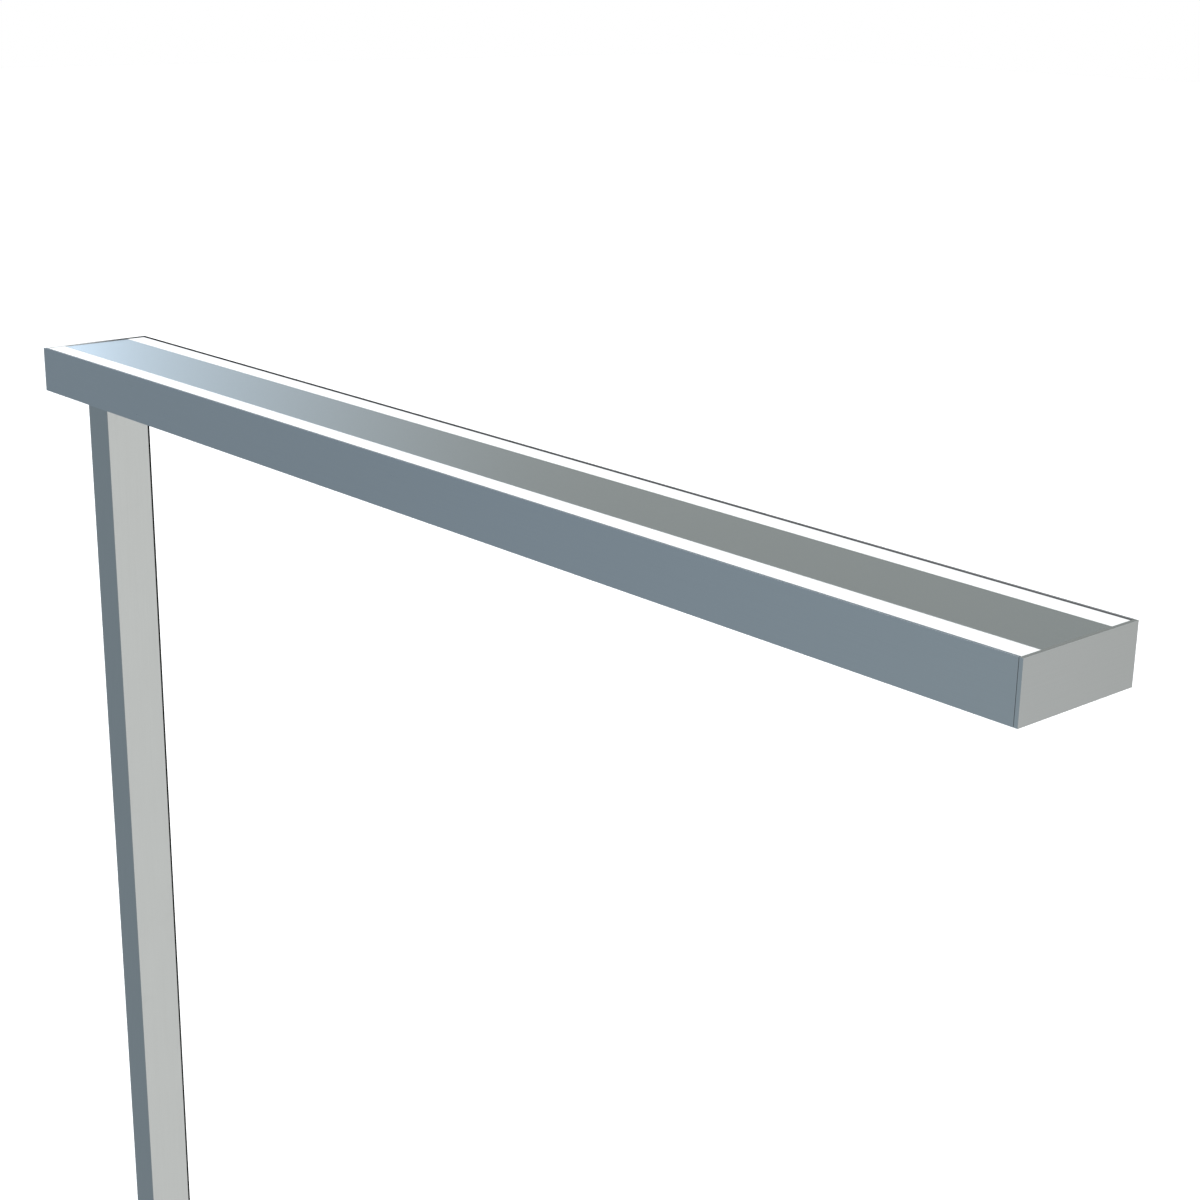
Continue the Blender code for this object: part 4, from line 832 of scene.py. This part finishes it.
KNOB_LOBES = 6
KNOB_STEPS = 144


def lobed_ring(bm, radius, height, wave=0.0):
    """A ring of vertices about Z, whose radius swings by wave at each of the knob's lobes."""
    ring = []
    for i in range(KNOB_STEPS):
        angle = 2 * math.pi * i / KNOB_STEPS
        r = radius + wave * math.cos(KNOB_LOBES * angle)
        ring.append(bm.verts.new((r * math.cos(angle), r * math.sin(angle), height)))
    return ring


def make_knob():
    """The six-lobed knob: waisted lobes with soft edges, a plain round hub and a dished underside."""
    low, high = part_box("clamp_knob")
    centre_x = (low.x + high.x) / 2
    lobe = 3 * MM
    mean = (high.x - low.x) / 2 - lobe
    edge = 3 * MM
    hub = 11 * MM
    hub_edge = 0.6 * MM
    grip_top = high.z - 8 * MM
    fillet = 1.5 * MM
    fillet_steps = 5
    bore = 4.3 * MM
    bore_edge = 0.4 * MM
    bore_floor = high.z - 3 * MM
    dish = 1.6 * MM
    crown = 5 * MM  # the flat middle of the dish
    crown_drop = 0.8 * MM
    # The underside's foot and the dish's rim: in from the soft edge, height, share of the lobes' swing
    underside = ((2.0 * MM, 0.0, 0.8), (2.8 * MM, 0.7 * MM, 0.7), (5.0 * MM, dish, 0.35))
    outline = [(bore, bore_floor), (bore, high.z - bore_edge), (bore + bore_edge, high.z)]
    outline += [(hub - hub_edge, high.z), (hub, high.z - hub_edge)]
    outline += arc((hub + fillet, grip_top + fillet), fillet, math.pi, 1.5 * math.pi, fillet_steps)
    side = arc((mean - edge, grip_top - edge), edge, math.pi / 2, 0)
    side += arc((mean - edge, low.z + edge), edge, 0, -math.pi / 2)
    outline += [(radius, height, lobe) for radius, height in side]
    outline += [(mean - edge - inset, low.z + rise, share * lobe) for inset, rise, share in underside]
    outline += [(hub, low.z + dish), (hub - hub_edge, low.z + dish - hub_edge)]
    outline += [(crown, low.z + dish - crown_drop)]
    bm = bmesh.new()
    rings = [lobed_ring(bm, *place) for place in outline]
    for first, second in zip(rings, rings[1:]):
        join_rings(bm, first, second)
    bm.faces.new(rings[-1])
    bm.faces.new(rings[0])
    new_piece("knob", bm, "clamp_knob", Matrix.Translation((centre_x, 0, 0)))


def about_y(node):
    """A place on a node's axis along Y, with the piece's Z turned to point out of the post's front."""
    low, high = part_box(node)
    middle = (low + high) / 2
    return Matrix.Translation((middle.x, 0, middle.z)) @ Matrix.Rotation(90 * DEG, 4, "X")


def make_button():
    """The dimmer button: a turned cap with a dished face, a fine groove round it and a stem."""
    low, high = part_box("dimmer_button")
    radius = (high.x - low.x) / 2
    face = -low.y
    inner = -high.y
    edge = 0.6 * MM
    bevel = 0.3 * MM
    dish = 0.55 * MM
    dish_radius = radius - 1.6 * MM
    dish_steps = 10
    groove = radius - 1.35 * MM
    groove_width = 0.15 * MM
    groove_flank = 0.05 * MM
    groove_floor = face - 0.12 * MM
    stem = 5 * MM
    stem_bevel = 0.4 * MM
    cap_back = face - 6.4 * MM
    profile = [(0, face - dish)]
    for i in range(1, dish_steps + 1):
        share = i / dish_steps
        profile.append((dish_radius * share, face - dish * (1 - share**2)))
    profile += [(groove, groove_floor), (groove + groove_width, groove_floor)]
    profile += [(groove + groove_width + groove_flank, face)]
    profile += arc((radius - edge, face - edge), edge, math.pi / 2, 0)
    profile += [(radius, cap_back + bevel), (radius - bevel, cap_back), (stem, cap_back)]
    profile += [(stem, inner + stem_bevel), (stem - stem_bevel, inner), (0, inner)]
    bm = bmesh.new()
    lathe(bm, profile)
    new_piece("button", bm, "dimmer_button", about_y("dimmer_button"))


def make_bezel():
    """The black ring that the button slides in, with a rounded flange and a ridged barrel."""
    low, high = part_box("button_bezel")
    button_low, button_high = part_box("dimmer_button")
    outer = (high.x - low.x) / 2
    face = -low.y
    back = -high.y
    slack = 0.3 * MM
    bore = (button_high.x - button_low.x) / 2 + slack
    bore_edge = 0.3 * MM
    barrel = bore + 1.2 * MM
    flange_back = face - 1.5 * MM
    flange_edge = 0.9 * MM
    guide = back + 4.5 * MM
    guide_bore = 5.3 * MM
    ridges = 9
    ridge = 0.25 * MM
    first_ridge = flange_back - 0.6 * MM
    ridge_pitch = (first_ridge - (back + 0.5 * MM)) / ridges
    profile = [(bore, face - bore_edge), (bore + bore_edge, face)]
    profile += arc((outer - flange_edge, face - flange_edge), flange_edge, math.pi / 2, 0)
    profile += [(outer, flange_back), (barrel, flange_back)]
    for i in range(ridges):
        top = first_ridge - ridge_pitch * i
        profile += [(barrel, top), (barrel - ridge, top - ridge_pitch / 2)]
    profile += [(barrel - ridge, back), (guide_bore, back), (guide_bore, guide), (bore, guide)]
    bm = bmesh.new()
    lathe(bm, profile, closed=True)
    new_piece("bezel", bm, "button_bezel", about_y("button_bezel"))


def make_pressure_pad():
    """The swivelling pressure pad under the desk: a disc with a boss round the spindle's ball."""
    low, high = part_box("pressure_pad")
    centre_x = (low.x + high.x) / 2
    radius = (high.x - low.x) / 2
    edge = 0.8 * MM
    edge_steps = 4
    rim_low = high.z - 4 * MM
    boss = 10 * MM
    cone_width = 1.5 * MM
    cone_top = rim_low - 2.6 * MM
    cone_foot = rim_low - 4.2 * MM
    neck_hole = 4.6 * MM
    neck_bevel = 0.6 * MM
    socket = 5.8 * MM
    socket_middle = high.z - 10.5 * MM
    profile = [(0, high.z), (radius - edge, high.z)]
    profile += arc((radius - edge, high.z - edge), edge, math.pi / 2, 0, edge_steps)[1:]
    profile += arc((radius - edge, rim_low + edge), edge, 0, -math.pi / 3, edge_steps)
    profile += [(boss + cone_width, cone_top), (boss, cone_foot)]
    profile += [(boss, low.z + edge), (boss - edge, low.z)]
    profile += [(neck_hole + neck_bevel, low.z), (neck_hole, low.z + neck_bevel)]
    meet = math.asin(neck_hole / socket) - math.pi / 2
    profile += arc((0, socket_middle), socket, meet, math.pi / 2, BALL_STEPS)[:-1]
    profile += [(0, socket_middle + socket)]
    bm = bmesh.new()
    lathe(bm, profile)
    new_piece("pad_plate", bm, "pressure_pad", Matrix.Translation((centre_x, 0, 0)))


def make_pad_liner():
    """The rubber disc on the pressure pad, with moulded rings."""
    low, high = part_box("pressure_pad_liner")
    centre_x = (low.x + high.x) / 2
    radius = (high.x - low.x) / 2
    rings = 5
    foot = 0.9 * MM  # half the width of a moulded ring, and of its crest
    crest = 0.5 * MM
    between = high.z - 0.4 * MM
    edge = 0.3 * MM
    profile = [(0, between)]
    for i in range(1, rings + 1):
        middle = radius * i / (rings + 1)
        profile += [(middle - foot, between), (middle - crest, high.z)]
        profile += [(middle + crest, high.z), (middle + foot, between)]
    last_crest = radius - 0.9 * MM
    profile += [(last_crest - edge, between), (last_crest, high.z)]
    profile += [(radius - edge, high.z), (radius, high.z - edge), (radius, low.z), (0, low.z)]
    bm = bmesh.new()
    lathe(bm, profile)
    new_piece("pad_rubber", bm, "pressure_pad_liner", Matrix.Translation((centre_x, 0, 0)))


def make_clamp_nut():
    """The flanged nut in the lower jaw, with its bore's edges broken."""
    low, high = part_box("clamp_nut")
    centre_x = (low.x + high.x) / 2
    flange = (high.x - low.x) / 2
    flange_low = high.z - 4 * MM
    body = 9 * MM
    bore = 6.3 * MM
    edge = 0.5 * MM
    profile = [(bore + edge, high.z), (flange - edge, high.z), (flange, high.z - edge)]
    profile += [(flange, flange_low + edge), (flange - edge, flange_low), (body, flange_low)]
    profile += [(body, low.z + edge), (body - edge, low.z), (bore + edge, low.z), (bore, low.z + edge)]
    profile += [(bore, high.z - edge)]
    bm = bmesh.new()
    lathe(bm, profile, closed=True)
    new_piece("jaw_nut", bm, "clamp_nut", Matrix.Translation((centre_x, 0, 0)))


# ---------------------------------------------------------------------------------------------

bpy.context.scene.view_settings.view_transform = "Standard"
make_camera()
make_surroundings()
make_floor()
materials = make_materials()
finish_cad_nodes()
make_spindle()
make_knob()
make_button()
make_bezel()
make_pressure_pad()
make_pad_liner()
make_clamp_nut()
